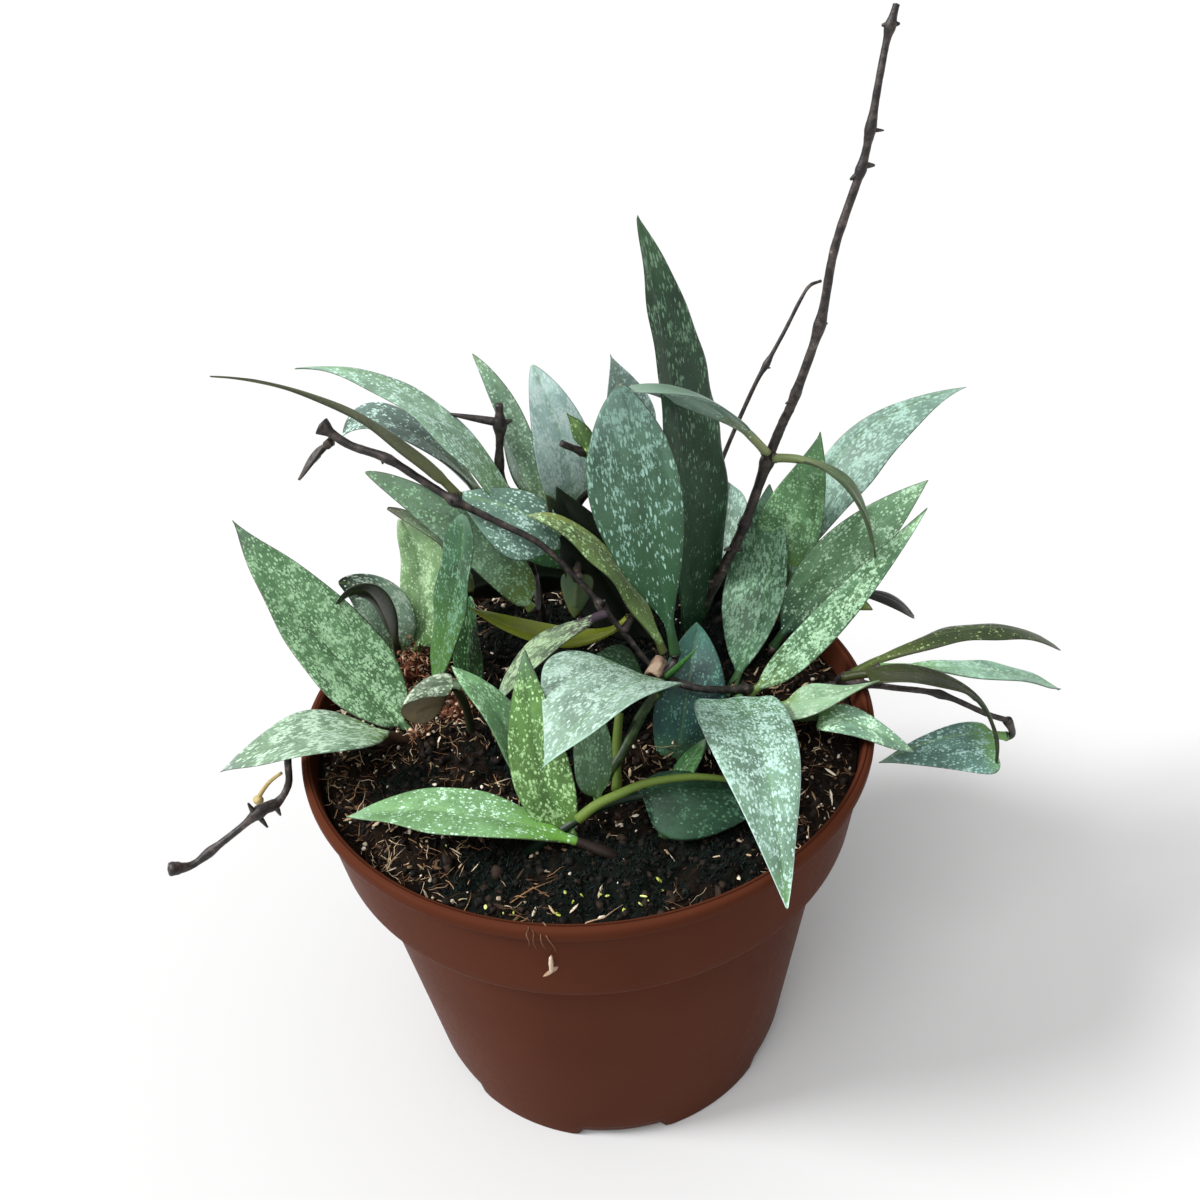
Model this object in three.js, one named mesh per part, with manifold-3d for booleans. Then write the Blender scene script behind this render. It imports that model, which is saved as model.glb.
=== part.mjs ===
// A hoya with narrow speckled leaves, growing in a round plastic nursery pot.
// Millimetres, +Z up. The origin is the middle of the pot's underside, and the
// front of the plant faces -Y.
import * as THREE from 'three';
import { mergeVertices } from 'three/addons/utils/BufferGeometryUtils.js';
import Module from 'manifold-3d';

// ---------------------------------------------------------------- the pot

const POT_HEIGHT = 93;
const LIP_RADIUS = 60;
const LIP_HEIGHT = 3;
const LIP_ROUNDING = 0.6;
const COLLAR_TOP_RADIUS = 58.8;
const COLLAR_FOOT_RADIUS = 56.5;
const COLLAR_HEIGHT = 23; // from the step up to the top of the lip
const BODY_TOP_RADIUS = 52.4;
const BODY_FOOT_RADIUS = 43.4;
const WALL = 1.2;
const FOOT_ROUNDING = 2;
const POT_SEGMENTS = 40;

const FOOT_RING_WIDTH = 6;
const RECESS_HEIGHT = 1.8; // how far the floor's underside stands off the table
const PAD_RADIUS = 9; // the pad in the middle that the mould's gate leaves
const FOOT_SLOTS = 6;
const SLOT_WIDTH = 20;
const DRAIN_HOLES = 6;
const DRAIN_RADIUS = 4;
const DRAIN_CIRCLE = 26;
const DRAIN_SEGMENTS = 16;
const FRONT = -90; // the azimuth of the first slot and hole, in degrees

const STEP_HEIGHT = POT_HEIGHT - COLLAR_HEIGHT;
const SHELF_HEIGHT = STEP_HEIGHT + WALL;
const FLOOR_HEIGHT = RECESS_HEIGHT + WALL;

// ---------------------------------------------------------------- the soil

const SOIL_TOP = 88;
const SOIL_EDGE_DROP = 1.5; // the soil has shrunk a little away from the rim
const SOIL_EDGE_WIDTH = 7;
const CLEARANCE = 0.3; // gap kept where one piece meets the next

// ---------------------------------------------------------------- the plant

const STALK_RADIUS = 0.9;
const LEAF_HALF_THICKNESS = 0.75;
const LEAF_EDGE_THICKNESS = 0.15;
const LEAF_FOLD = 0.18; // rise of each half from midrib to edge, per mm of width
const LEAF_STATIONS = 10;
const LEAF_TAPER = 1.0;
const LEAF_FULLNESS = 0.8;
const LEAF_STALK = 4;
const STEM_SIDES = 6;
const STEM_STEPS = 3; // rings for each stretch between two route points
const TWIG_RADIUS = 0.75;
const TWIG_STEPS = 4;
const TWIG_TURN = 0.5; // where a twig bends, as a part of its length from the leaf

// Where a leaf's section has its eight corners, as parts of the half width and
// of the half thickness, going round from one edge over the upper face.
const SECTION_ACROSS = [-1, -0.5, 0, 0.5, 1, 0.5, 0, -0.5];
const SECTION_UP = [0, 0.75, 1, 0.75, 0, -0.75, -1, -0.75];

const LEAF_COLOURS = {
  fresh: 0x5d9a55,
  lime: 0x86a347,
  teal: 0x3f7a68,
  silver: 0x7fa597,
  deep: 0x2c4f38,
  olive: 0x5a6a3c,
};

// Each leaf: its name and shade, then where its stalk is rooted, the point that
// its midrib bends toward, its tip, its width, and the direction across the
// blade as an azimuth and a tilt in degrees. The last entry is for what differs
// from the usual stalk length, fullness near the root, or fold, and names the
// stem that the leaf grows on, unless it is rooted in the soil.
const LEFT_LEAVES = [
  ['left_broad', 'fresh', [-39, 0, 89], [-57, 7, 111], [-67, 14, 136], 22, [60, 0]],
  ['left_low', 'fresh', [-40, -6, 89], [-51, -12, 107], [-72, -18, 99], 14, [110, 0]],
  ['left_behind', 'teal', [-43, 16, 89], [-49, 18, 120], [-68, 22, 91], 13, [75, 0]],
  ['left_dark', 'olive', [-42, 20, 89], [-41, 23, 126], [-54, 26, 106], 6, [-100, 25]],
  ['left_upright_lime', 'lime', [-37, 11, 89], [-35, 14, 114], [-34, 13, 134], 12, [-45, 0]],
  ['left_upright_teal', 'teal', [-30, 2, 90], [-25, 1, 123], [-20, 2, 139], 18, [-60, -5], { stalk: 5 }],
  ['left_shade', 'deep', [-24, 9, 90], [-25, 11, 101], [-24, 13, 114], 13, [-50, 5]],
];

const BACK_LEAVES = [
  ['back_left_low', 'fresh', [-12, 20, 104], [-24, 16, 129], [-38, 10, 146], 13, [90, 15],
    { stalk: 5, on: 'stem_back' }],
  ['back_left_tip', 'olive', [-25, 22, 104], [-31, 20, 130], [-36, 16, 137], 8, [-80, -10],
    { on: 'stem_left' }],
  ['arching_top', 'teal', [-15, 25, 133], [-26, 24, 156], [-51, 24, 163], 13, [85, 5],
    { stalk: 5, on: 'stem_back' }],
  ['arching_under', 'deep', [-16, 29, 130], [-31, 30, 156], [-45, 30, 145], 11, [90, 0],
    { stalk: 5, on: 'stem_back' }],
  ['long_narrow', 'olive', [-23, 14, 140], [-39, 12, 165], [-63, 10, 168], 8, [-80, 5],
    { fullness: 0.5, on: 'stem_runner' }],
  ['blue_cross', 'teal', [0, 18, 113], [-13, 14, 132], [-23, 17, 137], 14, [65, 25],
    { stalk: 5, on: 'stem_back_stub' }],
  ['back_lime', 'lime', [-8, 33, 118], [-6, 34, 141], [-16, 33, 157], 12, [65, 5],
    { stalk: 5, on: 'stem_back' }],
  ['back_silver', 'silver', [-1, 31, 110], [1, 24, 148], [-5, 24, 159], 18, [35, 10],
    { stalk: 6, on: 'stem_back_stub' }],
  ['back_shade', 'deep', [-10, 34, 116], [-11, 36, 132], [-13, 38, 143], 12, [60, -5],
    { stalk: 5, on: 'stem_back' }],
  ['back_teal_tip', 'teal', [17, 31, 89], [15, 30, 151], [11, 29, 158], 14, [45, 5], { stalk: 20 }],
];

const CENTRE_LEAVES = [
  ['centre_silver', 'silver', [18, 4, 102], [10, 2, 146], [11, -1, 164], 22, [35, 10],
    { stalk: 6, on: 'stem_runner' }],
  ['tall_dark', 'deep', [25, 17, 89], [26, 18, 154], [17, 18, 188], 20, [40, 5], { stalk: 8 }],
  ['centre_olive', 'olive', [17, 9, 98], [10, 12, 122], [-8, 12, 133], 12, [-100, 0],
    { stalk: 6, on: 'stem_runner' }],
  ['centre_hanging', 'fresh', [2, 14, 120], [0, 13, 113], [-3, 10, 105], 9, [125, 0],
    { on: 'stem_runner' }],
  ['centre_shade', 'deep', [15, 0, 94], [10, 1, 101], [3, 2, 104], 12, [85, -5], { on: 'stem_runner' }],
  ['centre_arch', 'silver', [4, 3, 112], [-8, -2, 116], [-18, -8, 102], 9, [110, -10],
    { stalk: 3, on: 'stem_runner' }],
  ['centre_yellow', 'lime', [7, 9, 106], [-7, 10, 97], [-23, 6, 116], 11, [-90, -10],
    { stalk: 8, on: 'stem_runner' }],
  ['tall_left', 'olive', [40, 18, 138], [24, 6, 164], [11, 5, 161], 10, [-70, -10],
    { stalk: 5, on: 'stem_tall' }],
  ['tall_right', 'olive', [43, 18, 137], [56, 11, 145], [62, 8, 118], 11, [-110, 10],
    { stalk: 5, on: 'stem_tall' }],
];

const FRONT_LEAVES = [
  ['front_left_dark', 'deep', [-10, -24, 89], [-18, -18, 108], [-25, -12, 115], 13, [70, -15]],
  ['front_left_curl', 'olive', [-21, -5, 89], [-30, -9, 119], [-36, -14, 105], 9, [-55, 0], { stalk: 13 }],
  ['front_upright', 'fresh', [-4, -34, 89], [-11, -30, 107], [-9, -22, 124], 12, [5, 0], { stalk: 3 }],
  ['front_low', 'fresh', [-2, -40, 89], [-24, -34, 101], [-47, -29, 94], 14, [75, -5]],
  ['front_silver', 'silver', [17, -11, 103], [2, -26, 126], [-9, -40, 112], 19, [135, 10],
    { stalk: 3, on: 'stem_front' }],
  ['front_inner', 'deep', [1, -25, 89], [0, -22, 99], [1, -19, 108], 11, [40, -10], { stalk: 3 }],
  ['front_teal', 'teal', [16, -17, 90], [13, -10, 88], [24, -1, 111], 16, [-35, 15],
    { stalk: 3, fullness: 0.6 }],
  ['front_yellow_stalk', 'deep', [-4, -37, 89], [15, -30, 104], [27, -31, 94], 14, [-90, 0],
    { stalk: 14, fold: -0.5 }],
];

const RIGHT_LEAVES = [
  ['right_silver_top', 'silver', [51, 27, 101], [67, 32, 134], [86, 32, 143], 13, [-65, -15],
    { stalk: 6, on: 'stem_right_back' }],
  ['right_back', 'fresh', [48, 30, 97], [54, 29, 117], [53, 24, 140], 15, [-70, -10],
    { stalk: 5, on: 'stem_right_back' }],
  ['right_upright', 'silver', [33, 7, 89], [41, 10, 112], [40, 12, 135], 16, [-55, 0], { stalk: 7 }],
  ['right_pale', 'silver', [27, 24, 98], [31, 24, 108], [34, 24, 128], 9, [-75, -5],
    { stalk: 12, on: 'stem_tall' }],
  ['right_shade', 'deep', [46, 20, 98], [63, 20, 113], [76, 20, 128], 12, [-95, 5],
    { stalk: 5, on: 'stem_right_back' }],
  ['right_bright', 'fresh', [36, 1, 89], [56, 6, 106], [73, 10, 128], 16, [-85, 10], { stalk: 6 }],
  ['right_hanging', 'silver', [36, 0, 92], [26, -46, 104], [32, -57, 91], 17, [180, -5],
    { stalk: 3, fullness: 0.45, on: 'stem_runner' }],
  ['right_light_arch', 'fresh', [42, -7, 89], [48, -13, 101], [59, -15, 105], 10, [-115, 0]],
  ['right_strip', 'teal', [52, -1, 98], [73, -2, 101], [102, -2, 86], 8, [-85, 20], { on: 'stem_right' }],
  ['right_strap', 'olive', [55, 3, 93], [81, 11, 108], [107, 10, 86], 10, [100, -15], { on: 'stem_right' }],
  ['right_olive_arch', 'olive', [52, -6, 98], [73, -13, 112], [85, -16, 79], 10, [-100, 10],
    { on: 'stem_right' }],
  ['right_low_teal', 'teal', [90, -6, 81], [77, -9, 77], [61, -12, 80], 13, [100, 0], { on: 'stem_right' }],
  ['right_small', 'teal', [43, -11, 89], [55, -20, 102], [64, -20, 90], 9, [-115, 5], { fullness: 0.5 }],
  ['right_dark_strap', 'deep', [52, 30, 98], [70, 28, 98], [79, 27, 88], 6, [90, -10],
    { on: 'stem_right_back' }],
];

// Each stem: its radius at the root and at the end, and the points it grows
// through, from the soil outward.
const STEMS = {
  stem_tall: {
    radii: [1.3, 0.6],
    route: [
      [26, 21, 88.5], [26.5, 21, 97.5], [29.5, 20, 104.5], [33, 20, 112],
      [37, 20, 121.5], [41.5, 20, 136.5], [44.5, 21, 144], [46.5, 21, 149],
      [51.5, 23, 163.5], [54, 25, 177.5], [58.5, 27, 191], [60, 28, 198],
      [61, 29, 204.5], [62.5, 31, 211.5], [64, 32, 217],
    ],
  },
  stem_tendril: {
    radii: [0.6, 0.3],
    route: [
      [29.5, 27, 123], [34, 27, 136], [39.5, 27, 149.5], [42.5, 28, 154.5],
      [46, 29, 160.5], [49, 30, 166], [51, 31, 168.5], [53.5, 32, 169],
    ],
  },
  stem_runner: {
    radii: [1.2, 0.9],
    route: [
      [38, 4, 89.5], [31, 3, 91], [22.5, 2, 93.5], [15, 3, 98], [10, 5, 105],
      [5, 6, 113], [0, 8, 119.5], [-6.5, 9, 127.5], [-14, 10, 132.5], [-22.5, 11, 138],
      [-29, 13, 142.5], [-35, 15, 146.5], [-42, 17, 149], [-47, 19, 152.5],
    ],
  },
  stem_right: {
    radii: [0.8, 0.8],
    route: [
      [46, -3, 89], [50, -3, 94], [58, -4, 94.5], [64.5, -6, 94.5],
      [74, -7, 92.5], [84, -8, 87], [89, -8, 84.5],
    ],
  },
  stem_trailing: {
    radii: [1, 0.9],
    route: [
      [-45, -7, 89.5], [-52, -9, 95.5], [-60, -11, 96.5], [-61.5, -14, 90], [-64, -16, 87],
      [-67, -18, 87], [-71.5, -20, 84.5], [-77, -22, 81.5], [-81.5, -24, 79.5], [-85, -26, 81],
    ],
  },
  stem_back: {
    radii: [1, 0.8],
    route: [
      [-8, 32, 88.5], [-10, 31, 110], [-13, 27, 129.5], [-14, 27, 135.5],
      [-13, 27, 144.5], [-12.5, 27, 150.5],
    ],
  },
  stem_back_stub: {
    radii: [0.9, 0.9],
    route: [[1, 35, 88.5], [1, 35, 118], [5.5, 35, 129.5], [4.5, 35, 133.5], [0, 35, 137]],
  },
  stem_left: {
    radii: [1, 0.9],
    route: [[-26, 20, 88.5], [-26.5, 21, 96], [-25.5, 21.5, 102]],
  },
  stem_right_back: {
    radii: [1, 0.8],
    route: [[49, 24, 88.5], [50, 24, 96], [51, 24, 102]],
  },
  stem_front: {
    radii: [0.9, 0.6],
    route: [[2, -21, 89.5], [6.5, -18, 94.5], [11, -12, 98.5], [15, -8, 101]],
  },
};

// ---------------------------------------------------------------- materials

const potPlastic = new THREE.MeshStandardMaterial({ color: 0x8a4a35, roughness: 0.5, metalness: 0 });
const pottingSoil = new THREE.MeshStandardMaterial({ color: 0x2e2019, roughness: 1, metalness: 0 });

function stemBark() {
  return new THREE.MeshStandardMaterial({ color: 0x332a2b, roughness: 0.75, metalness: 0 });
}

function leafSkin(shade) {
  return new THREE.MeshStandardMaterial({ color: LEAF_COLOURS[shade], roughness: 0.5, metalness: 0 });
}

// ---------------------------------------------------------------- solids

const kit = await Module();
kit.setup();

function toSolid(geometry) {
  const bare = new THREE.BufferGeometry();
  bare.setAttribute('position', geometry.getAttribute('position'));
  bare.setIndex(geometry.getIndex());
  const welded = mergeVertices(bare, 1e-4);
  return new kit.Manifold(new kit.Mesh({
    numProp: 3,
    vertProperties: new Float32Array(welded.getAttribute('position').array),
    triVerts: new Uint32Array(welded.getIndex().array),
  }));
}

function toGeometry(solid) {
  const mesh = solid.getMesh();
  const geometry = new THREE.BufferGeometry();
  geometry.setAttribute('position', new THREE.BufferAttribute(mesh.vertProperties, 3));
  geometry.setIndex(new THREE.BufferAttribute(mesh.triVerts, 1));
  return geometry;
}

function named(name, geometry, material) {
  geometry.computeVertexNormals();
  const mesh = new THREE.Mesh(geometry, material);
  mesh.name = name;
  return mesh;
}

// Turns an outline of [radius, height] points, from the axis round to the axis
// again, about +Z.
function turned(outline) {
  const points = outline.map(([radius, height]) => new THREE.Vector2(radius, height));
  return new THREE.LatheGeometry(points, POT_SEGMENTS).rotateX(Math.PI / 2);
}

// Joins rings of points into one closed skin, with a fan to a point at each end.
function skin(rings, first, last) {
  const sides = rings[0].length;
  const points = [...rings.flat(), first, last];
  const firstIndex = points.length - 2;
  const lastIndex = points.length - 1;
  const lastRing = sides * (rings.length - 1);
  const faces = [];
  for (let side = 0; side < sides; side += 1) {
    const next = (side + 1) % sides;
    for (let row = 0; row < lastRing; row += sides) {
      faces.push(row + side, row + next, row + sides + next);
      faces.push(row + side, row + sides + next, row + sides + side);
    }
    faces.push(lastRing + side, lastRing + next, lastIndex);
    faces.push(next, side, firstIndex);
  }
  return new THREE.BufferGeometry().setFromPoints(points).setIndex(faces);
}

// ---------------------------------------------------------------- the pieces

// The radius of the pot's inside at a height above its inner shelf.
function collarInside(height) {
  const share = (height - SHELF_HEIGHT) / (POT_HEIGHT - SHELF_HEIGHT);
  return THREE.MathUtils.lerp(COLLAR_FOOT_RADIUS, COLLAR_TOP_RADIUS, share) - WALL;
}

function makePot() {
  const lipFoot = POT_HEIGHT - LIP_HEIGHT;
  const soft = LIP_ROUNDING;
  const outline = [
    [0, 0],
    [PAD_RADIUS, 0],
    [PAD_RADIUS + 1, RECESS_HEIGHT],
    [BODY_FOOT_RADIUS - FOOT_RING_WIDTH - 1, RECESS_HEIGHT],
    [BODY_FOOT_RADIUS - FOOT_RING_WIDTH, 0],
    [BODY_FOOT_RADIUS - FOOT_ROUNDING, 0],
    [BODY_FOOT_RADIUS - FOOT_ROUNDING * 0.3, FOOT_ROUNDING * 0.3],
    [BODY_FOOT_RADIUS, FOOT_ROUNDING],
    [BODY_TOP_RADIUS, STEP_HEIGHT],
    [COLLAR_FOOT_RADIUS, STEP_HEIGHT],
    [COLLAR_TOP_RADIUS, lipFoot],
    [LIP_RADIUS, lipFoot],
    [LIP_RADIUS, POT_HEIGHT - soft],
    [LIP_RADIUS - soft, POT_HEIGHT],
    [collarInside(POT_HEIGHT) + soft, POT_HEIGHT],
    [collarInside(POT_HEIGHT - soft), POT_HEIGHT - soft],
    [collarInside(SHELF_HEIGHT), SHELF_HEIGHT],
    [BODY_TOP_RADIUS - WALL, SHELF_HEIGHT],
    [BODY_FOOT_RADIUS - WALL, FLOOR_HEIGHT],
    [0, FLOOR_HEIGHT],
  ];
  let pot = toSolid(turned(outline));
  const slotCutter = toSolid(new THREE.BoxGeometry(2 * FOOT_RING_WIDTH, SLOT_WIDTH, 2 * RECESS_HEIGHT))
    .translate([BODY_FOOT_RADIUS - FOOT_RING_WIDTH / 2, 0, 0]);
  for (let slot = 0; slot < FOOT_SLOTS; slot += 1) {
    pot = pot.subtract(slotCutter.rotate([0, 0, FRONT + (360 / FOOT_SLOTS) * slot]));
  }
  const drillLength = 4 * FLOOR_HEIGHT;
  const drill = toSolid(new THREE.CylinderGeometry(DRAIN_RADIUS, DRAIN_RADIUS, drillLength, DRAIN_SEGMENTS))
    .rotate([90, 0, 0])
    .translate([DRAIN_CIRCLE, 0, 0]);
  for (let hole = 0; hole < DRAIN_HOLES; hole += 1) {
    pot = pot.subtract(drill.rotate([0, 0, FRONT + (360 / DRAIN_HOLES) * hole]));
  }
  return named('pot', toGeometry(pot), potPlastic);
}

function makeSoil() {
  const shelf = SHELF_HEIGHT + CLEARANCE;
  const floor = FLOOR_HEIGHT + CLEARANCE;
  const edgeTop = SOIL_TOP - SOIL_EDGE_DROP;
  const edgeRadius = collarInside(edgeTop) - CLEARANCE;
  const outline = [
    [0, floor],
    [BODY_FOOT_RADIUS - WALL - CLEARANCE, floor],
    [BODY_TOP_RADIUS - WALL - CLEARANCE, shelf],
    [collarInside(shelf) - CLEARANCE, shelf],
    [edgeRadius, edgeTop],
    [edgeRadius - SOIL_EDGE_WIDTH, SOIL_TOP],
    [0, SOIL_TOP],
  ];
  return named('soil', turned(outline), pottingSoil);
}

// The half width of a blade, as a part of its widest, at a share of its length.
function bladeShape(share, fullness) {
  const widest = fullness / (fullness + LEAF_TAPER);
  const peak = widest ** fullness * (1 - widest) ** LEAF_TAPER;
  return (share ** fullness * (1 - share) ** LEAF_TAPER) / peak;
}

// A leaf is a stalk that widens into a pointed blade, with its halves folded up
// a little along the midrib. The midrib is one bend from the root to the tip.
function makeLeaf([name, shade, root, bend, tip, width, across, special = {}]) {
  const { stalk = LEAF_STALK, fullness = LEAF_FULLNESS, fold = LEAF_FOLD } = special;
  const midrib = new THREE.QuadraticBezierCurve3(
    new THREE.Vector3(...root),
    new THREE.Vector3(...bend),
    new THREE.Vector3(...tip),
  );
  const [azimuth, tilt] = across.map(THREE.MathUtils.degToRad);
  const crosswise = new THREE.Vector3(
    Math.cos(tilt) * Math.cos(azimuth),
    Math.cos(tilt) * Math.sin(azimuth),
    Math.sin(tilt),
  );
  const stalkEnd = stalk / midrib.getLength();

  function ringAt(place) {
    const share = Math.max(0, (place - stalkEnd) / (1 - stalkEnd));
    const onBlade = share > 0;
    const blade = (width / 2) * bladeShape(share, fullness);
    const halfWidth = Math.max(blade, STALK_RADIUS * (1 - 0.85 * share ** 2));
    const halfThickness = onBlade
      ? Math.max(LEAF_HALF_THICKNESS * Math.sqrt(1 - share), LEAF_EDGE_THICKNESS)
      : STALK_RADIUS;
    const centre = midrib.getPoint(place);
    const along = midrib.getTangent(place);
    const side = crosswise.clone().addScaledVector(along, -along.dot(crosswise)).normalize();
    const up = new THREE.Vector3().crossVectors(side, along);
    return SECTION_ACROSS.map((part, corner) => {
      const rise = SECTION_UP[corner] * halfThickness + (onBlade ? fold * Math.abs(part) * halfWidth : 0);
      return centre.clone().addScaledVector(side, part * halfWidth).addScaledVector(up, rise);
    });
  }

  const rings = [ringAt(0)];
  for (let station = 0; station < LEAF_STATIONS - 1; station += 1) {
    const share = station / (LEAF_STATIONS - 1);
    rings.push(ringAt(stalkEnd + (1 - stalkEnd) * share));
  }
  return named(name, skin(rings, midrib.getPoint(0), midrib.getPoint(1)), leafSkin(shade));
}

// A round tube along a curve, thinning evenly from one end to the other.
function taperedTube(curve, firstRadius, lastRadius, steps) {
  const reference = new THREE.Vector3(0.13, 0.29, 0.94); // along no stem
  const rings = [];
  for (let step = 0; step <= steps; step += 1) {
    const share = step / steps;
    const radius = THREE.MathUtils.lerp(firstRadius, lastRadius, share);
    const centre = curve.getPoint(share);
    const along = curve.getTangent(share);
    const side = new THREE.Vector3().crossVectors(along, reference).normalize();
    const up = new THREE.Vector3().crossVectors(along, side);
    const ring = [];
    for (let corner = 0; corner < STEM_SIDES; corner += 1) {
      const angle = (2 * Math.PI * corner) / STEM_SIDES;
      ring.push(centre.clone()
        .addScaledVector(side, radius * Math.cos(angle))
        .addScaledVector(up, radius * Math.sin(angle)));
    }
    rings.push(ring);
  }
  return toSolid(skin(rings, curve.getPoint(0), curve.getPoint(1)));
}

// A twig leaves its stem at the point nearest to the leaf that it carries, and
// turns into the leaf's direction, ending just short of the leaf's root.
function makeTwig(stemCurve, [, , leafRoot, leafBend]) {
  const root = new THREE.Vector3(...leafRoot);
  const heading = new THREE.Vector3(...leafBend).sub(root).normalize();
  const end = root.clone().addScaledVector(heading, -CLEARANCE);
  const places = stemCurve.getSpacedPoints(100);
  places.sort((one, other) => one.distanceTo(end) - other.distanceTo(end));
  const start = places[0];
  const turn = end.clone().addScaledVector(heading, -TWIG_TURN * start.distanceTo(end));
  const curve = new THREE.QuadraticBezierCurve3(start, turn, end);
  return taperedTube(curve, TWIG_RADIUS, STALK_RADIUS, TWIG_STEPS);
}

// A stem runs along a smooth route and is one solid with its twigs.
function makeStem(name, { radii, route }, leaves) {
  const places = route.map((place) => new THREE.Vector3(...place));
  const curve = new THREE.CatmullRomCurve3(places, false, 'catmullrom', 0.5);
  let stem = taperedTube(curve, radii[0], radii[1], (places.length - 1) * STEM_STEPS);
  for (const leaf of leaves) {
    stem = stem.add(makeTwig(curve, leaf));
  }
  return named(name, toGeometry(stem), stemBark());
}

// ---------------------------------------------------------------- the plant in its pot

const plant = new THREE.Group();
plant.add(makePot());
plant.add(makeSoil());
const leaves = [...LEFT_LEAVES, ...BACK_LEAVES, ...CENTRE_LEAVES, ...FRONT_LEAVES, ...RIGHT_LEAVES];
for (const leaf of leaves) {
  plant.add(makeLeaf(leaf));
}
for (const [name, stem] of Object.entries(STEMS)) {
  plant.add(makeStem(name, stem, leaves.filter((leaf) => leaf[7]?.on === name)));
}

export default plant;
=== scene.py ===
"""A narrow-leaved speckled hoya in a round terracotta-brown nursery pot.

Sizes and places in the tables are millimetres in the plant's own frame: +Z up,
the origin under the middle of the pot, the front facing -Y. Meshes are made in
metres from them.
"""

import logging
from dataclasses import dataclass, field, replace
from enum import Enum

import bpy
import numpy as np
from mathutils import Matrix


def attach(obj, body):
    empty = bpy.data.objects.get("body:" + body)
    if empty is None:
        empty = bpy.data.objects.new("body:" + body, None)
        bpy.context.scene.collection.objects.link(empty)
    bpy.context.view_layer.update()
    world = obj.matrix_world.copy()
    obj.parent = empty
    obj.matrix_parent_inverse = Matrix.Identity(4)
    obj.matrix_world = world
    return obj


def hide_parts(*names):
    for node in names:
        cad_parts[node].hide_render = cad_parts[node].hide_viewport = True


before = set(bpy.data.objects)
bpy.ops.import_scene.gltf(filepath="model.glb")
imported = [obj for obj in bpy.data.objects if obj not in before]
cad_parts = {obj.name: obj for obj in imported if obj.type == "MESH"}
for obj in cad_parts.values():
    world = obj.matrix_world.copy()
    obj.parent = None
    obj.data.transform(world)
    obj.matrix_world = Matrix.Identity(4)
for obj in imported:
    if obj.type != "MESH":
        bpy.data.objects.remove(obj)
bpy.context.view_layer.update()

log = logging.getLogger("hoya")
logging.basicConfig(level=logging.INFO, format="%(name)s: %(message)s")

MM = 0.001
SEED = 20
Vec = tuple[float, float, float]

WAVES = 18  # sine waves in one ripple
HAIR_SIDES = 3  # points round a fibre, which is too thin to show more
DOME = 0.3  # how far a tube's end bulges, as a share of its radius
ASLANT = (0.13, 0.29, 0.94)  # no stem runs this way, so a tube's sideways is taken from it


class Slot(Enum):
    """Names of material slots."""

    POT = "pot_plastic"
    SOIL = "soil"
    BARK = "bark"
    FRESH = "leaf_fresh"
    LIME = "leaf_lime"
    TEAL = "leaf_teal"
    SILVER = "leaf_silver"
    DEEP = "leaf_deep"
    OLIVE = "leaf_olive"


# ------------------------------------------------------------------ numbers


def ease(low: float, high: float, value: np.ndarray) -> np.ndarray:
    """Rises smoothly from 0 at low to 1 at high: 3t^2 - 2t^3 of the clipped share t."""
    share = np.clip((value - low) / (high - low), 0, 1)
    return share * share * (3 - 2 * share)


def unit(vectors: np.ndarray) -> np.ndarray:
    """Vectors along the last axis, divided by their lengths."""
    return vectors / np.maximum(np.linalg.norm(vectors, axis=-1, keepdims=True), 1e-9)


def ripples(places: np.ndarray, wavelength: float, seed: int) -> np.ndarray:
    """Smooth bumps of about one wavelength, with a spread of about 1.

    The mean of sine waves that run in random directions, each with a length
    near the given one and a random phase.

    Args:
        places: points, their coordinates along the last axis, in mm.
        wavelength: the usual distance from bump to bump, in mm.
        seed: picks the directions and phases.

    Returns:
        One height for each place.
    """
    dice = np.random.default_rng(seed)
    headings = unit(dice.normal(size=(WAVES, places.shape[-1])))
    numbers = headings * (2 * np.pi / (wavelength * dice.uniform(0.7, 1.4, (WAVES, 1))))
    return np.sin(places @ numbers.T + dice.uniform(0, 2 * np.pi, WAVES)).sum(-1) / np.sqrt(WAVES / 2)


def run_along(line: np.ndarray) -> np.ndarray:
    """The length of a line from its start to each of its points."""
    return np.concatenate([[0], np.cumsum(np.linalg.norm(np.diff(line, axis=0), axis=1))])


def circle(count: int) -> np.ndarray:
    """Evenly spaced points (cos a, sin a) on the unit circle, the first on +X."""
    angle = np.linspace(0, 2 * np.pi, count, endpoint=False)
    return np.stack([np.cos(angle), np.sin(angle)], -1)


def spokes(path: np.ndarray, sides: int) -> np.ndarray:
    """Unit vectors round a path: cos a side + sin a up, both square to the path.

    Args:
        path: (..., rows, 3) centres.
        sides: spokes round each centre.

    Returns:
        (..., rows, sides, 3) vectors.
    """
    heading = unit(np.gradient(path, axis=-2))[..., None, :]
    side = unit(np.cross(heading, ASLANT))
    cosine, sine = circle(sides).T[..., None]
    return cosine * side + sine * np.cross(heading, side)


def smooth_route(route: np.ndarray, steps: int) -> np.ndarray:
    """Points on the uniform Catmull-Rom curve through a route.

    Each stretch between two route points is the cubic that leaves and meets
    them along half the chord between their neighbours.

    Args:
        route: (n, 3) points.
        steps: points for each stretch.

    Returns:
        ((n - 1) * steps + 1, 3) points.
    """
    padded = np.vstack([2 * route[0] - route[1], route, 2 * route[-1] - route[-2]])
    place = np.arange((len(route) - 1) * steps + 1) / steps
    index = np.minimum(place.astype(int), len(route) - 2)
    t = (place - index)[:, None]
    before, start, end, after = (padded[index + k] for k in range(4))
    return 0.5 * (
        2 * start
        + (end - before) * t
        + (2 * before - 5 * start + 4 * end - after) * t**2
        + (3 * start - before - 3 * end + after) * t**3
    )


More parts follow.
